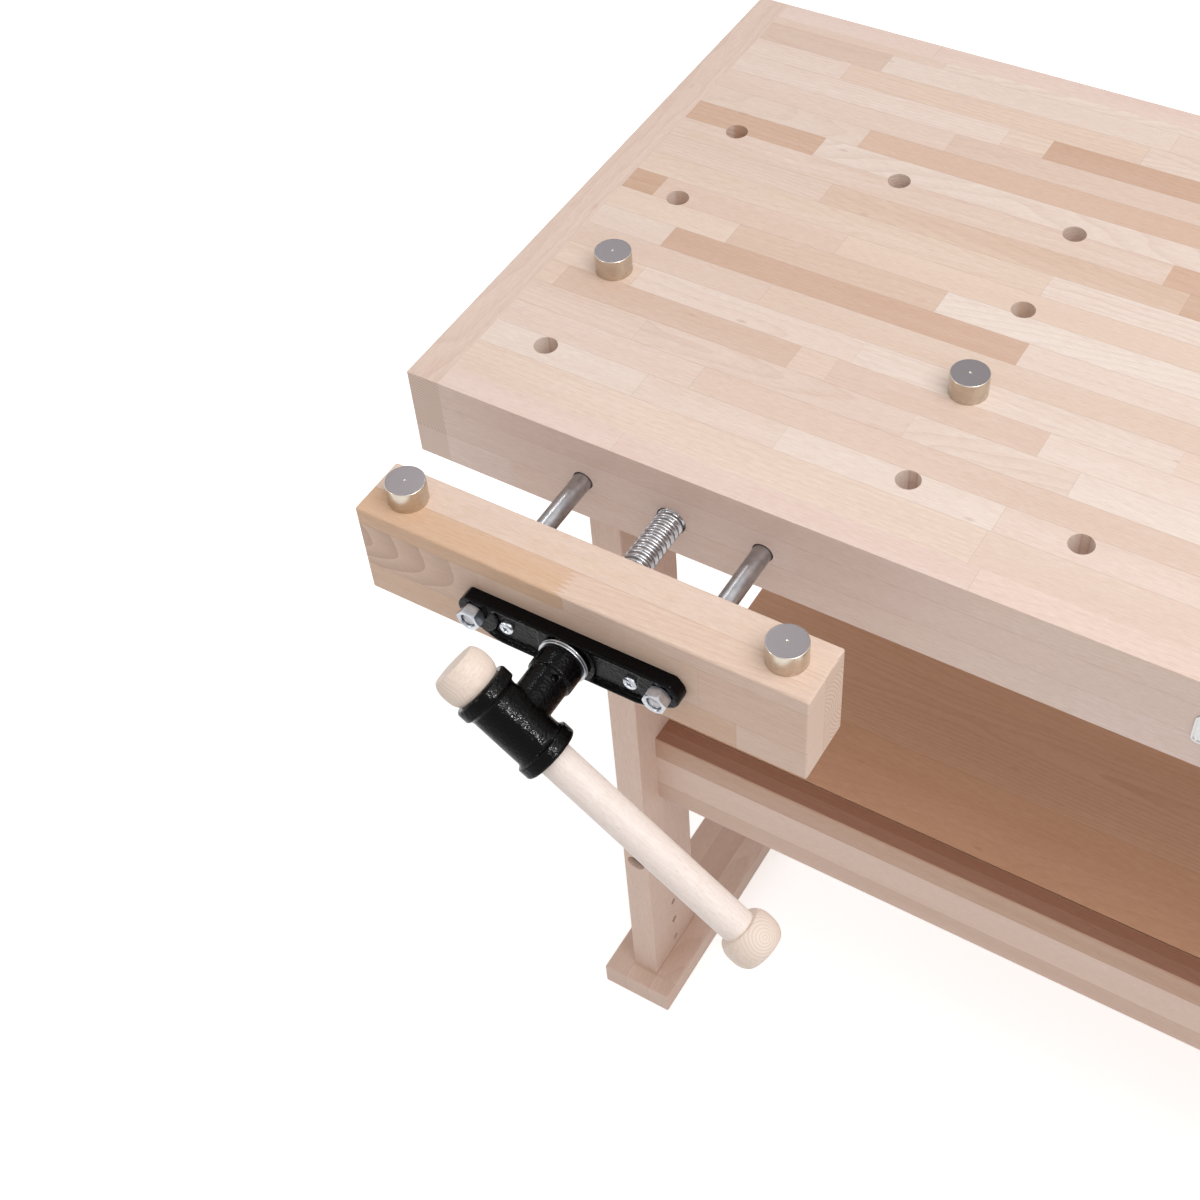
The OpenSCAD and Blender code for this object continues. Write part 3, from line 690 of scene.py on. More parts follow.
def grid_object(name: str, grid: np.ndarray, smooth_angle: float = 35.0,
                path: Optional[np.ndarray] = None) -> Piece:
    """Makes a mesh from a grid of points whose second index runs round a closed loop.

    Args:
        name: The object's name.
        grid: Points, shaped (along, round, 3).
        smooth_angle: Edges sharper than this stay sharp, in degrees.
        path: Distance of each row along the profile, kept as the attribute "turning".

    Returns:
        The object, with its poles merged and its faces turned outwards.
    """
    along, around = grid.shape[:2]
    i, j = np.meshgrid(np.arange(along - 1), np.arange(around), indexing="ij")
    k = (j + 1) % around
    quads = np.stack([i * around + j, i * around + k,
                      (i + 1) * around + k, (i + 1) * around + j], -1)
    mesh = bpy.data.meshes.new(name)
    mesh.from_pydata(grid.reshape(-1, 3), [], quads.reshape(-1, 4))
    if path is not None:
        turning = mesh.attributes.new("turning", "FLOAT", "POINT")
        turning.data.foreach_set("value", np.repeat(path, around).astype(np.float32))
    return finished(name, mesh, smooth_angle)


def finished(name: str, mesh: bpy.types.Mesh, smooth_angle: float = 35.0) -> Piece:
    """Merges a mesh's doubles, turns its faces outwards and links it to the scene.

    Args:
        name: The object's name.
        mesh: The mesh.
        smooth_angle: Edges sharper than this stay sharp, in degrees.

    Returns:
        The new object at the origin.
    """
    work = bmesh.new()
    work.from_mesh(mesh)
    bmesh.ops.remove_doubles(work, verts=work.verts, dist=1e-6)
    bmesh.ops.recalc_face_normals(work, faces=work.faces)
    if work.calc_volume(signed=True) < 0:
        bmesh.ops.reverse_faces(work, faces=work.faces)
    limit = math.radians(smooth_angle)
    for face in work.faces:
        face.smooth = True
    for edge in work.edges:
        edge.smooth = len(edge.link_faces) == 2 and edge.calc_face_angle(0) < limit
    work.to_mesh(mesh)
    work.free()
    return placed(name, mesh)


@dataclass(frozen=True)
class Axle:
    """A line that turned pieces stand on.

    Attributes:
        start: Where the line starts.
        along: Its direction.
        side: The direction, square to it, from which angles are counted.
    """

    start: Vector
    along: Vector
    side: Vector

    def shape(self, name: str, radius: np.ndarray, angle: np.ndarray, height: np.ndarray,
              smooth_angle: float, path: Optional[np.ndarray] = None) -> Piece:
        """Makes a mesh of points given round the line, each row a closed loop.

        A point lies at start + height * along + radius * (cos(angle) * side + sin(angle) * third).

        Args:
            name: The object's name.
            radius: Distances from the line.
            angle: Angles from the side direction, in radians.
            height: Distances along the line from its start.
            smooth_angle: Edges sharper than this stay sharp, in degrees.
            path: Distance of each row along the profile, for tool marks.

        Returns:
            The object.
        """
        third = self.along.cross(self.side)
        grid = (np.array(self.start) + height[..., None] * np.array(self.along)
                + (radius * np.cos(angle))[..., None] * np.array(self.side)
                + (radius * np.sin(angle))[..., None] * np.array(third))
        return grid_object(name, grid, smooth_angle, path)

    def lathe(self, name: str, profile: np.ndarray, around: int = 64,
              smooth_angle: float = 35.0) -> Piece:
        """Turns a profile round the line: every point goes round a circle of its own radius.

        The distance along the profile is kept as the attribute "turning", for tool marks.

        Args:
            name: The object's name.
            profile: Rows of (radius, height), in metres.
            around: Points round each circle.
            smooth_angle: Edges sharper than this stay sharp, in degrees.

        Returns:
            The turned object.
        """
        steps = np.linalg.norm(np.diff(profile, axis=0), axis=1)
        path = np.concatenate([[0], np.cumsum(steps)])
        return self.shape(name, profile[:, :1], circle(around), profile[:, 1:], smooth_angle, path)

    def thread(self, name: str, start: float, end: float, outer: float, depth: float, pitch: float,
               around: int = 40, per_turn: int = 10) -> Piece:
        """Makes a threaded rod with closed ends.

        The radius at angle a and height h is outer - depth * w(h / pitch - a / 2 pi), where w is
        a trapezoid wave, and the thread runs out over its last half turn at both ends.

        Args:
            name: The object's name.
            start: Height where the rod starts.
            end: Height where it ends.
            outer: Radius over the thread's crests.
            depth: Depth of the thread.
            pitch: Advance in one turn.
            around: Points round the rod.
            per_turn: Rings of points in one turn.

        Returns:
            The threaded object.
        """
        rings = max(8, int((end - start) / pitch * per_turn))
        height = np.linspace(start, end, rings)[:, None]
        angle = circle(around)
        phase = np.mod(height / pitch - angle / (2 * math.pi), 1.0)
        wave = np.clip(2.2 * (np.abs(2 * phase - 1) - 0.5) + 0.5, 0, 1)
        taper = np.clip(np.minimum(height - start, end - height) / (0.5 * pitch), 0, 1)
        radius = outer - depth * (1 - wave * taper)
        cap = np.zeros_like(angle)
        radius, height = np.vstack([cap, radius, cap]), np.vstack([height[:1], height, height[-1:]])
        return self.shape(name, radius, angle, height, 50.0)


def softened(node: str, name: str, voxel: float, rounds: int) -> Piece:
    """Makes a cast version of a frame node, whose edges and corners are gently rounded.

    The node's merged copy is cut into small even cells and smoothed a few rounds.

    Args:
        node: The frame node to copy.
        name: The new object's name.
        voxel: Size of the cells, in metres.
        rounds: Rounds of smoothing.

    Returns:
        The rounded object.
    """
    copy = finished(name + "_raw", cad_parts[node].data.copy())
    remesh = copy.modifiers.new("cells", "REMESH")
    remesh.mode, remesh.voxel_size, remesh.use_smooth_shade = "VOXEL", voxel, True
    smooth = copy.modifiers.new("rounding", "SMOOTH")
    smooth.factor, smooth.iterations = 0.5, rounds
    graph = bpy.context.evaluated_depsgraph_get()
    mesh = bpy.data.meshes.new_from_object(copy.evaluated_get(graph))
    bpy.data.objects.remove(copy)
    mesh.name = name
    mesh.materials.clear()
    return placed(name, mesh)


def eased(node: str, name: str, width: float, *sides: tuple[int, int]) -> Piece:
    """Makes a frame node anew with the outer edges of some of its sides rounded.

    Args:
        node: The frame node to copy.
        name: The new object's name.
        width: Width of the rounding, in metres.
        *sides: Sides as (axis, 0 for the lower or 1 for the higher one).

    Returns:
        The object, whose other shapes are the node's.
    """
    low_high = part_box(node)
    work = bmesh.new()
    work.from_mesh(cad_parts[node].data)
    bmesh.ops.remove_doubles(work, verts=work.verts, dist=1e-6)
    bmesh.ops.dissolve_limit(work, angle_limit=math.radians(0.4), verts=work.verts,
                             edges=work.edges)
    chosen = []
    for axis, end in sides:
        others = [i for i in range(3) if i != axis]
        for edge in work.edges:
            if any(abs(v.co[axis] - low_high[end][axis]) > 1e-5 for v in edge.verts):
                continue
            middle = (edge.verts[0].co + edge.verts[1].co) / 2
            outer = any(abs(middle[i] - corner[i]) < 1.5 * MM
                        for i in others for corner in low_high)
            if outer and edge.calc_face_angle(0) > math.radians(60):
                chosen.append(edge)
    bmesh.ops.bevel(work, geom=list(set(chosen)), offset=width, segments=3, profile=0.5,
                    affect="EDGES", clamp_overlap=False)
    return finished(name, meshed(name, work), 1.0)


def dress(item: Piece, material: Material) -> None:
    """Gives an object one material in place of what it has."""
    item.data.materials.clear()
    item.data.materials.append(material)


def stand_for(item: Piece, body: str, material: Material, slot: str, *nodes: str) -> None:
    """Dresses a new piece, lets it ride on a body and stand for frame nodes.

    Args:
        item: The new piece.
        body: The body it moves with.
        material: Its finish.
        slot: Name of a material slot; not used.
        *nodes: Frame nodes it stands for.
    """
    dress(item, material)
    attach(item, body)
    if nodes:
        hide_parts(*nodes)
    LOG.info("%s: %d faces", item.name, len(item.data.polygons))


def joined(name: str, items: Sequence[Piece]) -> Piece:
    """Puts several meshes into one object.

    Args:
        name: The new object's name.
        items: Objects at the origin, which are removed.

    Returns:
        The joined object.
    """
    work = bmesh.new()
    for item in items:
        work.from_mesh(item.data)
        bpy.data.objects.remove(item)
    return placed(name, meshed(name, work))


# ---- The bench's own pieces


@dataclass
class Woodwork:
    """Worktop, aprons, leg frames, stretchers and shelf, which keep the frame's shapes.

    Only the feet and end caps get eased edges. The lists of lines are in metres.

    Attributes:
        stave_w: Width of the worktop's equal staves, in metres.
        stave_from: Glue line that the worktop's staves are counted from, from the bench's front.
        worktop_staves: Bands, ends and tones of staves that are known, from the bench's corner.
        rail_lines: Glue lines in the stretchers, from the floor.
        rail_streak: Edges of the dark streak on the front stretcher's top, from the bench's front.
        rail_tones: Tones of the stretchers' layers, each from front to back.
        foot_lines: Glue lines in the feet, from the bench's left.
        foot_staves: Bands, ends and tones of the feet's known staves, from the bench's corner.
        shelf_lines: Glue lines in the shelf, from the bench's front.
        leg_lines: Glue lines in the legs, from the bench's front.
        bearer_lines: Glue lines in the bearers, from the bench's left.
        pinkish: Pale colour of the steamed wood.
        pinkish_deep: Its dark colour.
        ease: Rounding of the feet's and end caps' edges.
    """

    stave_w: float = 0.02815
    stave_from: float = 0.0311
    worktop_staves: tuple[tuple[int, float, float, float], ...] = (
        (0, 0.000, 0.476, 0.12), (0, 0.476, 0.910, 0.22), (1, 0.300, 0.478, 0.10),
        (1, 0.478, 0.830, 0.14), (3, 0.380, 0.512, 0.24), (3, 0.512, 0.860, 0.10),
        (4, 0.300, 0.477, 0.34), (4, 0.477, 0.800, 0.14), (5, 0.310, 0.571, 0.14),
        (7, 0.000, 0.103, 0.30), (7, 0.103, 0.424, 0.78), (7, 0.424, 0.790, 0.12),
        (8, 0.000, 0.150, 0.20), (8, 0.150, 0.342, 0.40), (8, 0.342, 0.720, 0.08),
        (9, 0.000, 0.062, 0.95), (9, 0.062, 0.238, 0.28), (9, 0.238, 0.640, 0.18),
        (10, 0.000, 0.409, 0.30), (10, 0.409, 0.700, 0.06), (11, 0.000, 0.195, 0.24),
        (11, 0.195, 0.514, 0.52), (11, 0.514, 0.650, 0.88), (12, 0.000, 0.490, 0.30),
        (13, 0.160, 0.560, 0.18), (14, 0.190, 0.640, 0.56), (15, 0.260, 0.700, 0.42),
        (16, 0.340, 0.760, 0.84))
    rail_lines: tuple[float, ...] = (0.378, 0.421)
    rail_streak: tuple[float, ...] = (0.0672, 0.0706)
    rail_tones: tuple[tuple[float, ...], ...] = (
        (0.36, 0.36, 0.36), (0.0, 0.0, 0.0), (0.70, 1.0, 0.85))
    foot_lines: tuple[float, ...] = (0.150, 0.1795, 1.2205, 1.250)
    foot_staves: tuple[tuple[int, float, float, float], ...] = (
        (0, -0.050, 0.330, 0.34), (1, -0.050, 0.020, 0.20), (1, 0.020, 0.420, 0.50),
        (2, -0.050, 0.020, 0.00), (2, 0.020, 0.300, 0.10))
    shelf_lines: tuple[float, ...] = (0.160, 0.245, 0.331, 0.420, 0.509)
    leg_lines: tuple[float, ...] = (0.0665, 0.5335)
    bearer_lines: tuple[float, ...] = (0.150, 1.250)
    pinkish: Colour = srgb(231, 210, 198)
    pinkish_deep: Colour = srgb(198, 164, 144)
    ease: float = 2 * MM

    @staticmethod
    def shifted(lines: Sequence[float], start: float) -> tuple[float, ...]:
        """Places of lines that are given from the bench's corner, in the part's frame."""
        return tuple(line + start for line in lines)

    @staticmethod
    def known(staves: Sequence[tuple[int, float, float, float]], start: float) -> tuple[Stave, ...]:
        """Known staves, given as band, two ends from the bench's corner, and tone."""
        return tuple(Stave(band, 0, low + start, high + start, tone)
                     for band, low, high, tone in staves)

    def finishes(self) -> dict[str, Timber]:
        """Lists the finish of each wooden node."""
        top = Timber("worktop_staves", Grain.X, pitch=self.stave_w,
                     first=self.stave_from + CORNER.y, stave=0.34, seed=2, variety=0.8,
                     known=self.known(self.worktop_staves, CORNER.x))
        plain = {"pale": self.pinkish, "deep": self.pinkish_deep}
        apron = Timber("apron_staves", Grain.X, pale=srgb(235, 220, 212), deep=srgb(208, 175, 160),
                       layers=(0.844, 0.875), stave=0.42, fingers=0.010, saw_through=True, seed=3,
                       variety=0.45)
        cap = Timber("end_cap_wood", Grain.Y, pale=srgb(226, 209, 198), deep=self.pinkish_deep,
                     layers=(0.8435,), seed=7, variety=0.5)
        leg = Timber("leg_wood", Grain.Z, **plain, layers=self.shifted(self.leg_lines, CORNER.y),
                     seed=11, variety=0.45)
        foot = Timber("foot_wood", Grain.Y, **plain, cuts=self.shifted(self.foot_lines, CORNER.x),
                      stave=0.40, known=self.known(self.foot_staves, CORNER.y), seed=13,
                      variety=0.5)
        bearer = Timber("bearer_wood", Grain.Y, **plain,
                        cuts=self.shifted(self.bearer_lines, CORNER.x), seed=17, variety=0.5)
        rail_known = tuple(Stave(band, layer, -1.0, 1.0, tone)
                           for layer, tones in enumerate(self.rail_tones)
                           for band, tone in enumerate(tones))
        # The stretchers' upper colour is painted shade on their faces that look up, under the
        # worktop
        rail = Timber("stretcher_wood", Grain.X, pale=srgb(232, 211, 198), deep=srgb(192, 154, 130),
                      cuts=self.shifted(self.rail_streak, CORNER.y), layers=self.rail_lines,
                      stave=3.0, known=rail_known, upper=srgb(212, 190, 182), seed=19, variety=0.5)
        shelf = Timber("shelf_wood", Grain.X, pale=srgb(224, 187, 159), deep=srgb(180, 130, 98),
                       cuts=self.shifted(self.shelf_lines, CORNER.y), seed=23, variety=0.8,
                       figure=0.8)
        ledge = Timber("ledge_wood", Grain.X, seed=29, variety=0.4)
        return {node: timber for timber, nodes in (
            (top, "top_panel"), (apron, "front_apron rear_apron"),
            (cap, "left_end_cap right_end_cap"),
            (leg, "left_front_leg left_rear_leg right_front_leg right_rear_leg"),
            (foot, "left_foot right_foot"), (bearer, "left_bearer right_bearer"),
            (rail, "front_stretcher rear_stretcher"), (shelf, "shelf"),
            (ledge, "front_ledge rear_ledge stretcher_dowels")) for node in nodes.split()}

    def build(self) -> None:
        """Dresses every wooden node of the bench."""
        made: dict[str, Material] = {}
        ends = {"left_foot": ((1, 0), (1, 1)), "right_foot": ((1, 0), (1, 1)),
                "left_end_cap": ((0, 0),), "right_end_cap": ((0, 1),)}
        for node, timber in self.finishes().items():
            if timber.name not in made:
                made[timber.name] = timber.make()
            if node in ends:
                piece = eased(node, f"eased_{node}", self.ease, *ends[node])
                slot = "steamed_beech" if "foot" in node else "beech"
                stand_for(piece, "bench", made[timber.name], slot, node)
            else:
                dress(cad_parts[node], made[timber.name])
        LOG.info("woodwork: %d finishes", len(made))


@dataclass
class Vise:
    """A vise: its jaw, cast plate and hub, lead screw, guide rods and sliding handle.

    Names of sizes end in d for a diameter, l for a length, t for a thickness, h for a height, r for
    a radius and af for the width across flats. The ring's radii are those of its lips, its bore
    and its groove, the pin's those of its bore and its outside. Threads are given by their outer
    radius, depth and pitch.

    Attributes:
        name: Prefix of the vise's nodes and bodies.
        origin: The vise's place on the bench's face, at the worktop's height.
        turn: Direction that points to the vise's right.
        opening: Distance of the jaw's back from the bench.
        slope: Slope of the handle below level, in degrees.
        grain: Direction of the jaw's fibres.
        finishes: The metal finishes by name.
        jaw_staves: Whether near the front, layer, ends and tone of the jaw's known staves.
        screw_drop: Depth of the lead screw below the worktop.
        rod_drop: Depth of the guide rods.
        rod_half: Distance of a rod from the screw, sideways.
        hub_out: Distance of the handle from the jaw's front.
        inner: Where screw and rods end behind the jaw's front.
    """

    name: str
    origin: Vector
    turn: Vector
    opening: float
    slope: float
    grain: Grain
    finishes: dict[str, Material]
    jaw_staves: tuple[tuple[bool, int, float, float, float], ...] = (
        (True, 2, -0.200, -0.006, 0.60), (True, 2, -0.006, 0.200, 0.26),
        (False, 2, -0.200, 0.200, 0.18), (True, 1, -0.200, 0.105, 0.26),
        (True, 1, 0.105, 0.200, 0.24), (True, 0, -0.200, 0.135, 0.46),
        (True, 0, 0.135, 0.200, 0.16))
    jaw_t: float = 54.5 * MM
    jaw_cut: float = 25.5 * MM
    jaw_lines: tuple[float, float] = (0.840, 0.885)
    jaw_ease: float = 1.8 * MM
    cast_cell: float = 0.8 * MM
    screw_drop: float = 52 * MM
    rod_drop: float = 46.5 * MM
    rod_half: float = 80 * MM
    hub_out: float = 79 * MM
    inner: float = 280.5 * MM
    tube_l: float = 71 * MM
    bar_d: float = 28 * MM
    bar_l: float = 260 * MM
    bar_gap: float = 0.3 * MM
    knob_d: float = 44 * MM
    knob_l: float = 25 * MM
    plate_t: float = 12 * MM
    seat_t: float = 2 * MM
    ring_t: float = 3.5 * MM
    ring_radii: tuple[float, float, float] = (20.3 * MM, 10.05 * MM, 18.4 * MM)
    nut_h: float = 10 * MM
    nut_af: float = 18 * MM
    nut_bore_r: float = 6.05 * MM
    nut_turn: float = 9.0
    rod_d: float = 16 * MM
    rod_sink: float = 2 * MM
    rod_thread: tuple[float, float, float] = (6 * MM, 0.9 * MM, 1.75 * MM)
    screw_thread: tuple[float, float, float] = (12 * MM, 2.2 * MM, 6 * MM)
    neck_r: float = 10 * MM
    neck_l: float = 59.5 * MM
    stem_d: float = 33.4 * MM
    pin_out: float = 39.5 * MM
    pin_sink: float = 4.5 * MM
    pin_radii: tuple[float, float] = (1.3 * MM, 2.4 * MM)
    pan_x: float = 53.5 * MM
    inward: Vector = field(init=False)

    def __post_init__(self) -> None:
        """Finds the direction into the bench."""
        self.inward = UP.cross(self.turn)

    def at(self, right: float, inward: float, up: float) -> Vector:
        """Place given from the middle of the jaw's front, at the worktop's height."""
        front = -self.opening - self.jaw_t
        return self.origin + self.turn * right + self.inward * (front + inward) + UP * up

    def line(self, right: float, inward: float, up: float) -> Axle:
        """Line that starts at a place and runs into the bench."""
        return Axle(self.at(right, inward, up), self.inward, self.turn)

    @property
    def downhill(self) -> Vector:
        """Direction of the handle towards its lower knob."""
        a = math.radians(self.slope)
        return (self.turn * math.cos(a) - UP * math.sin(a)).normalized()

    def put(self, item: Piece, body: str, finish: Union[str, Material], slot: str,
            node: str) -> None:
        """Dresses a piece and puts it on one of the vise's bodies.

        Args:
            item: The piece.
            body: The body, without the vise's name.
            finish: A material, or the name of a metal finish.
            slot: Name of a material slot, handed to stand_for, which does not use it.
            node: The frame node it stands for, without the vise's name.
        """
        material = self.finishes[finish] if isinstance(finish, str) else finish
        stand_for(item, f"{self.name}_{body}", material, slot, f"{self.name}_{node}")

    def build(self) -> None:
        """Builds and dresses the vise's pieces."""
        self.build_jaw()
        self.build_castings()
        self.build_fasteners()
        self.build_screw()
        self.build_handle()

    def build_jaw(self) -> None:
        """Dresses the jaw: staves beside and over each other, the front upper ones of two tones."""
        crossways = self.grain is Grain.X
        line, axis = self.at(0, self.jaw_cut, 0), 0 if crossways else 1
        cut, middle = (line.y, self.origin.x) if crossways else (line.x, self.origin.y)
        rings = (0.12, 0.72)
        known = tuple(Stave(int(near != crossways), layer, middle + start, middle + end, tone)
                      for near, layer, start, end, tone in self.jaw_staves)
        timber = Timber(f"{self.name}_jaw_wood", self.grain, pale=srgb(228, 210, 200),
                        deep=srgb(210, 171, 134), cuts=(cut,), layers=self.jaw_lines, stave=0.30,
                        fingers=0.010, known=known, seed=31, variety=0.4, figure=0.6, rings=350,
                        end_rings=rings if crossways else rings[::-1],
                        shell=Shell(middle - 0.217, 0.866, 0.0245, 0.160, *self.jaw_lines))
        jaw = eased(f"{self.name}_jaw", f"{self.name}_eased_jaw", self.jaw_ease,
                    (axis, 0), (axis, 1))
        self.put(jaw, "jaw", timber.make(), "beech", "jaw")

    def build_castings(self) -> None:
        """Makes the plate and the hub anew with cast edges, and paints the guide plate."""
        for node, made, body, rounds in (
                ("plate", "vise_plate", "jaw", 5), ("hub", "cast_hub", "spindle", 4)):
            cast = softened(f"{self.name}_{node}", f"{self.name}_{made}", self.cast_cell, rounds)
            self.put(cast, body, "black", "black_casting", node)
        dress(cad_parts[f"{self.name}_guide_plate"], self.finishes["black"])

    def build_fasteners(self) -> None:
        """Makes the retaining ring, the guide rods with their threaded ends, nuts and pan heads."""
        outer, inner, groove = self.ring_radii
        face = -self.plate_t - self.seat_t
        back, lip, dip = face - self.ring_t, 1.2 * MM, 1.3 * MM
        profile = rounded(
            [(inner, face), (outer, face), (outer, face - lip), (groove, face - dip),
             (groove, back + dip), (outer, back + lip), (outer, back), (inner, back),
             (inner, face)],
            [0.3 * MM, 0.3 * MM, 0, 0, 0.3 * MM, 0.4 * MM, 0.3 * MM])
        ring = self.line(0, 0, -self.screw_drop).lathe(f"{self.name}_retaining_ring", profile)
        self.put(ring, "jaw", "turned", "zinc", "ring")
        rods, screws, nuts = [], [], []
        for side in (-1, 1):
            line = self.line(side * self.rod_half, 0, -self.rod_drop)
            r, to = self.rod_d / 2, self.inner
            profile = rounded([(0, 0), (r, 0), (r, to), (0, to)], [0, 1.5 * MM], 5)
            rods.append(line.lathe(f"{self.name}_rod_{side}", profile))
            rods.append(line.thread(
                f"{self.name}_rod_end_{side}", self.rod_sink - self.plate_t - self.nut_h, 0.2 * MM,
                *self.rod_thread, 32, 8))
            screws.append(self.pan_head(side))
            nuts.append(self.nut(side))
        for made, items, finish, slot, node in (
                ("rods", rods, "steel", "bright_steel", "guide_rods"),
                ("pan_heads", screws, "zinc", "zinc", "plate_screws"),
                ("hexagon_nuts", nuts, "zinc", "zinc", "rod_nuts")):
            self.put(joined(f"{self.name}_{made}", items), "jaw", finish, slot, node)

    def nut(self, side: int) -> Piece:
        """Makes a hexagon nut with both faces chamfered and its thread countersunk.

        At angle a the flats lie at f / cos(b), where b is the angle from the middle of the nearest
        flat. At height h the radius is the smaller of that and c + 1.73 * the height's distance
        from the nearer face, which is the cone of the chamfer.

        Args:
            side: -1 for the left nut, 1 for the right one.

        Returns:
            The nut.
        """
        f, high, bore, sixth = self.nut_af / 2, self.nut_h, self.nut_bore_r, math.pi / 3
        sink, mouth = 0.9 * MM, bore + 0.8 * MM
        line = Axle(self.at(side * self.rod_half, -self.plate_t, -self.rod_drop),
                    -self.inward, self.turn)
        angle = circle(120)
        flats = f / np.cos(np.mod(angle - math.radians(self.nut_turn * side), sixth) - sixth / 2)
        rise = np.array([0, 0.15, 0.3, 0.5, 0.7, 0.9, 1.1]) * MM
        height = np.concatenate([rise, high - rise[::-1]])[:, None]
        outside = np.minimum(flats, 0.965 * f + 1.73 * np.minimum(height, high - height))
        inner_h = np.array([high, high - sink, sink, 0])[:, None]
        inside = np.array([mouth, bore, bore, mouth])[:, None] + 0 * angle
        radius = np.vstack([inside, outside, inside[:1]])
        height = np.vstack([inner_h, height, inner_h[:1]])
        return line.shape(f"{self.name}_nut_{side}", radius, angle, height, 28.0)

    def pan_head(self, side: int) -> Piece:
        """Makes a pan-head screw with a six-lobed recess.

        At radius r and angle a the head's height is h * (1 - (r / R)^5)^0.5, less the recess where
        r is under q * (0.80 + 0.20 * cos(6 a)).

        Args:
            side: -1 for the left screw, 1 for the right one.

        Returns:
            The screw.
        """
        R, h, q, sink = 6.4 * MM, 3.5 * MM, 3.0 * MM, 2.0 * MM
        shank_r, shank_h, under = R * 0.45, -30 * MM, -0.4 * MM
        line = self.line(side * self.pan_x, h - self.plate_t, -self.screw_drop)
        share = np.concatenate([np.linspace(0, 0.55, 26), np.linspace(0.58, 1.0, 18)])[:, None]
        angle = circle(96)
        radius = R * share + 0 * angle
        height = h * np.sqrt(np.clip(1 - (radius / R) ** 5, 0, 1))
        edge = q * (0.80 + 0.20 * np.cos(6 * angle))
        height = height - sink * np.clip((edge - radius) / (0.35 * MM) + 0.5, 0, 1)
        foot = np.array([[R, under], [shank_r, under], [shank_r, shank_h], [0, shank_h]])
        radius = np.vstack([radius, foot[:, :1] + 0 * angle])
        height = np.vstack([height, foot[:, 1:] + 0 * angle])
        return line.shape(f"{self.name}_screw_{side}", radius, angle, -height, 40.0)

    def build_screw(self) -> None:
        """Makes the lead screw with its thread and neck, and the roll pin across the hub."""
        line, r, low, high = self.line(0, 0, -self.screw_drop), self.neck_r, -self.neck_l, 0.5 * MM
        thread = line.thread(f"{self.name}_thread", 0.3 * MM, self.inner, *self.screw_thread)
        neck = line.lathe(f"{self.name}_neck", rounded(
            [(0, low), (r, low), (r, high), (0, high)], [0.8 * MM, 0]))
        screw = joined(f"{self.name}_lead_screw", [thread, neck])
        self.put(screw, "spindle", "steel", "bright_steel", "screw")
        a = math.radians(self.slope)
        across = (self.turn * math.sin(a) + UP * math.cos(a)).normalized()
        half, (bore, out) = self.stem_d / 2 - self.pin_sink, self.pin_radii
        profile = rounded([(bore, -half), (out, -half), (out, half), (bore, half), (bore, -half)],
                          [0.3 * MM, 0.3 * MM, 0])
        pin = Axle(self.at(0, -self.pin_out, -self.screw_drop), across, self.inward)
        # The roll pin is dressed near-black: painted shade for the dark hole across the hub
        self.put(pin.lathe(f"{self.name}_roll_pin", profile, 24), "spindle", "dark", "bright_steel",
                 "hub_pin")

    def build_handle(self) -> None:
        """Turns the handle bar and its two knobs."""
        wood = Timber(f"{self.name}_handle_wood", Grain.Z, pale=srgb(247, 239, 234),
                      deep=srgb(222, 199, 184), turned=self.downhill, seed=41, variety=0.15,
                      figure=0.15, flecks=0.9).make()
        start = self.at(0, -self.hub_out, -self.screw_drop)
        line = Axle(start, self.downhill, self.inward)
        low, r = -self.tube_l / 2 - self.bar_gap, self.bar_d / 2
        high = low + self.bar_l
        bar = line.lathe(f"{self.name}_turned_bar",
                         np.array([(0, low), (r, low), (r, high), (0, high)]))
        self.put(bar, "handle", wood, "turned_beech", "handle_bar")
        for node, face, way in (("upper_knob", low, -1), ("lower_knob", high, 1)):
            knob = line.lathe(f"{self.name}_turned_{node}", self.knob_profile(face, way))
            middle = start + self.downhill * (face + way * self.knob_l / 2)
            cross = Timber(f"{self.name}_{node}_wood", Grain.Z, pale=srgb(241, 229, 219),
                           deep=srgb(216, 186, 162), turned=self.knob_grain(way), heart=middle,
                           seed=43, variety=0.15, figure=0.9, flecks=1.0, rings=420,
                           end_rings=(0.45,)).make()
            self.put(knob, "handle", cross, "turned_beech", node)

    def knob_grain(self, way: int) -> Vector:
        """Direction of a knob's fibres, which run across the handle.

        Args:
            way: 1 for the lower knob, whose end grain faces forward and up, -1 for the upper one.

        Returns:
            A unit vector square to the handle.
        """
        level = self.downhill.cross(self.inward).normalized()
        if level.z < 0:
            level = -level
        lean = math.radians(8.0 if way > 0 else -72.0)
        return (level * math.cos(lean) - self.inward * math.sin(lean)).normalized()

    def knob_profile(self, face: float, way: int) -> np.ndarray:
        """Outline of a barrel-shaped knob with a small round tenon end in its face.

        Args:
            face: Height of the face that meets the bar.
            way: 1 where the knob points downhill, -1 uphill.

        Returns:
            The profile as rows of (radius, height).
        """
        r, l = self.knob_d / 2, self.knob_l
        side = np.linspace(-1, 1, 13)
        belly = np.stack([r - 3.7 * MM * np.abs(side) ** 2.8, l / 2 + side * l / 2], -1)
        end = rounded([(belly[-1, 0], l), (9.3 * MM, l), (9.1 * MM, l - 0.4 * MM), (8.9 * MM, l),
                       (0, l)], [0.3 * MM, 0, 0.3 * MM])
        rows = np.concatenate([[(0, 0)], belly, end[1:]])
        rows[:, 1] = face + way * rows[:, 1]
        return rows


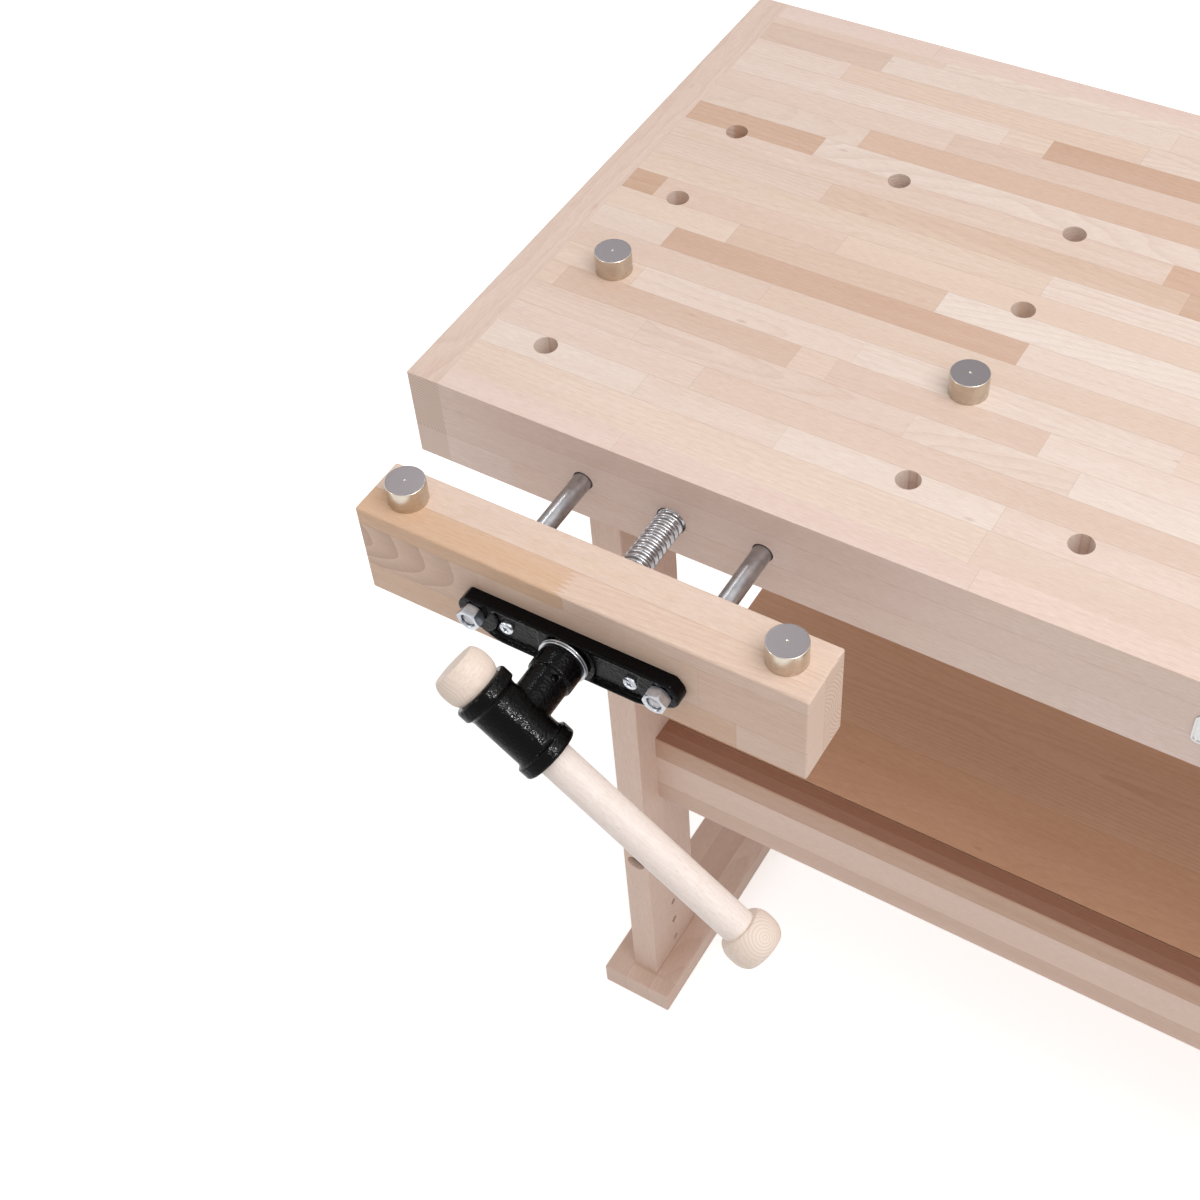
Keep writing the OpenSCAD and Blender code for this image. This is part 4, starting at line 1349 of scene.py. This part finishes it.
@dataclass
class Dogs:
    """Four round bench dogs, turned from bar and plated.

    Attributes:
        head_d: Diameter of the head.
        head_h: Height of the head.
        stem_d: Diameter of the stem.
        stem_l: Length of the stem.
    """

    head_d: float = 31.5 * MM
    head_h: float = 19.5 * MM
    stem_d: float = 19 * MM
    stem_l: float = 60 * MM

    def profile(self) -> np.ndarray:
        """Outline from the stem's foot to the head's centre mark."""
        r, s, h = self.head_d / 2, self.stem_d / 2, self.head_h
        points = [(0, -self.stem_l), (s, -self.stem_l), (s, -1.2 * MM), (s - 0.6 * MM, -0.8 * MM),
                  (s - 0.6 * MM, 0), (r, 0), (r, h), (r - 1.6 * MM, h), (r - 8 * MM, h),
                  (1.5 * MM, h), (1.2 * MM, h), (0, h - 0.9 * MM)]
        return rounded(points, [1.5 * MM, 0.2 * MM, 0, 0, 0.5 * MM, 1.0 * MM, 0, 0, 0, 0])

    def build(self, zinc: Material) -> None:
        """Turns the dogs where the frame's dogs stand."""
        for node in ("jaw_dog_left", "jaw_dog_right", "bench_dog_left", "bench_dog_right"):
            low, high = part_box(node)
            middle = (low + high) / 2
            line = Axle(Vector((middle.x, middle.y, BENCH_H)), UP, Vector((1, 0, 0)))
            dog = line.lathe(f"turned_{node}", self.profile(), 72)
            stand_for(dog, node, zinc, "zinc", node)


def seen(tree: bpy.types.NodeTree) -> Socket:
    """Adds the nodes that give 1 to camera, glossy and transmission rays, and 0 to all others."""
    path = tree.nodes.new("ShaderNodeLightPath")
    result = path.outputs["Is Camera Ray"]
    for ray in ("Is Glossy Ray", "Is Transmission Ray"):
        node = tree.nodes.new("ShaderNodeMath")
        node.operation = "MAXIMUM"
        tree.links.new(result, node.inputs[0])
        tree.links.new(path.outputs[ray], node.inputs[1])
        result = node.outputs[0]
    return result


@dataclass
class Studio:
    """Pale floor, soft light and the camera at the photograph's viewing angle.

    Attributes:
        camera_place: Place of the camera.
        lens: Its focal length, in millimetres.
        right: Direction that points right in the picture.
        down: Direction that points down in it.
        floor_half: Half the floor's width.
        floor_grey: Colour of the floor.
        floor_glow: Light that the floor adds for the camera and for reflections.
        sky: Strength of the light from all round.
        lamps: Name, place, aim, size and power of each lamp.
    """

    camera_place: Vector = field(default_factory=lambda: Vector((-0.0272, -0.9815, 1.884)))
    lens: float = 54.42
    right: Vector = field(default_factory=lambda: Vector((0.8505, 0.5219, -0.0651)))
    down: Vector = field(default_factory=lambda: Vector((0.3646, -0.6742, -0.6423)))
    floor_half: float = 30.0
    floor_grey: float = 0.88
    floor_glow: float = 0.56
    sky: float = 0.66
    lamps: tuple[tuple[str, Colour, Colour, float, float], ...] = (
        ("overhead", (0.80, -0.20, 3.0), (0.0, 0.0, 0.6), 2.2, 42.0),
        ("right_spot", (1.24, -0.80, 2.55), (-0.5, -0.3, 0.85), 0.12, 28.0),
        ("left_spot", (-2.0, -1.5, 2.2), (-0.5, -0.2, 0.8), 0.12, 9.0),
        ("back_spot", (-1.35, 0.78, 2.55), (-0.5, -0.3, 0.85), 0.14, 4.0))

    def build(self) -> None:
        """Makes the camera, floor, world and lamps."""
        self.build_camera()
        self.build_floor()
        self.build_world()
        self.build_lamps()

    def build_camera(self) -> None:
        """Sets the camera by its right, up and backward directions."""
        data = bpy.data.cameras.new("camera")
        data.lens, data.sensor_width, data.clip_start, data.clip_end = self.lens, 36.0, 0.02, 50.0
        camera = placed("camera", data)
        right, up = self.right.normalized(), -self.down.normalized()
        back = right.cross(up).normalized()
        up = back.cross(right)
        camera.matrix_world = Matrix.Translation(self.camera_place) @ Matrix(
            (right, up, back)).transposed().to_4x4()
        bpy.context.scene.camera = camera
        LOG.info("camera at %s", tuple(round(v, 3) for v in self.camera_place))

    def build_floor(self) -> None:
        """Lays a large pale floor, brightened for the camera and reflections only."""
        mesh, half = bpy.data.meshes.new("floor"), self.floor_half
        mesh.from_pydata([(-half, -half, 0), (half, -half, 0), (half, half, 0), (-half, half, 0)],
                         [], [(0, 1, 2, 3)])
        floor = placed("floor", mesh)
        recipe = Recipe("floor_paint")
        recipe.set("Base Color", (*(self.floor_grey,) * 3, 1))
        recipe.set("Roughness", 0.9)
        eye = Value(recipe, seen(recipe.material.node_tree))
        glow = recipe.node("ShaderNodeEmission", 0, {
            "Strength": self.floor_glow, "Color": recipe.mix(eye, (0, 0, 0), (1, 1, 1))})
        paint = Value(recipe, recipe.shader.outputs[0])
        both = recipe.node("ShaderNodeAddShader", 0, {0: paint, 1: glow})
        recipe.feed(recipe.output.inputs["Surface"], both)
        dress(floor, recipe.material)

    def build_world(self) -> None:
        """Gives soft light from all round, and a white background to the camera and to gloss."""
        world = bpy.data.worlds.new("studio")
        world.use_nodes = True
        bpy.context.scene.world = world
        nodes, links = world.node_tree.nodes, world.node_tree.links
        nodes.clear()
        mix, output = nodes.new("ShaderNodeMixShader"), nodes.new("ShaderNodeOutputWorld")
        links.new(seen(world.node_tree), mix.inputs[0])
        for socket, strength in ((mix.inputs[1], self.sky), (mix.inputs[2], 1.0)):
            light = nodes.new("ShaderNodeBackground")
            light.inputs["Color"].default_value = (1, 1, 1, 1)
            light.inputs["Strength"].default_value = strength
            links.new(light.outputs[0], socket)
        links.new(mix.outputs[0], output.inputs["Surface"])

    def build_lamps(self) -> None:
        """Hangs a large soft lamp overhead and three small ones that only make highlights."""
        for name, place, aim, size, power in self.lamps:
            data = bpy.data.lights.new(name, "AREA")
            data.shape, data.size, data.energy = "SQUARE", size, power
            lamp = placed(name, data)
            lamp.location = place
            lamp.rotation_euler = (Vector(aim) - Vector(place)).to_track_quat("-Z", "Y").to_euler()
            lamp.visible_diffuse = name == "overhead"


def metals() -> dict[str, Material]:
    """Makes the castings' paint and the metal finishes, by short name."""
    return {
        "black": BlackCasting().make(),
        "zinc": BrightMetal("zinc_plating", srgb(204, 207, 212), srgb(178, 182, 190), 0.30).make(),
        "turned": BrightMetal("turned_zinc", srgb(190, 192, 195), srgb(176, 178, 182), 0.30,
                              lathe=True).make(),
        # The dogs' crown colour is painted shade that darkens their tops
        "dog": BrightMetal("dog_plating", srgb(204, 194, 180), srgb(194, 185, 172), 0.26,
                           lathe=True, crown=srgb(132, 126, 128)).make(),
        "steel": BrightMetal("ground_steel", srgb(176, 176, 178), srgb(156, 156, 160), 0.30,
                             0.01 * MM, True).make(),
        # The roll pin's near-black colour is painted shade for the dark hole it sits in
        "dark": BrightMetal("pin_painted_shade", srgb(34, 33, 34), srgb(24, 23, 24), 0.45).make(),
        "plate": BrightMetal("satin_plate", srgb(200, 200, 199), srgb(196, 196, 195), 0.38,
                             0.002 * MM).make(),
    }


def main() -> None:
    """Builds the studio, the woodwork, both vises, the dogs and the small metal parts."""
    logging.basicConfig(level=logging.INFO, format="%(name)s %(message)s")
    bpy.context.scene.view_settings.view_transform = "Standard"
    Studio().build()
    Woodwork().build()
    finishes = metals()
    Vise("front", CORNER + Vector((0.244, 0, BENCH_H)), Vector((1, 0, 0)), 0.0865, 36.8,
         Grain.X, finishes).build()
    Vise("tail", CORNER + Vector((BENCH_L, 0.238, BENCH_H)), Vector((0, 1, 0)), 0.0005, 62.0,
         Grain.Y, finishes).build()
    Dogs().build(finishes["dog"])
    for node in ("stretcher_bolts", "stretcher_washers", "barrel_nuts", "ledge_screws",
                 "bearer_screws", "guide_screws"):
        dress(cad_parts[node], finishes["zinc"])
    dress(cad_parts["name_plate"], finishes["plate"])


if __name__ == "__main__":
    main()
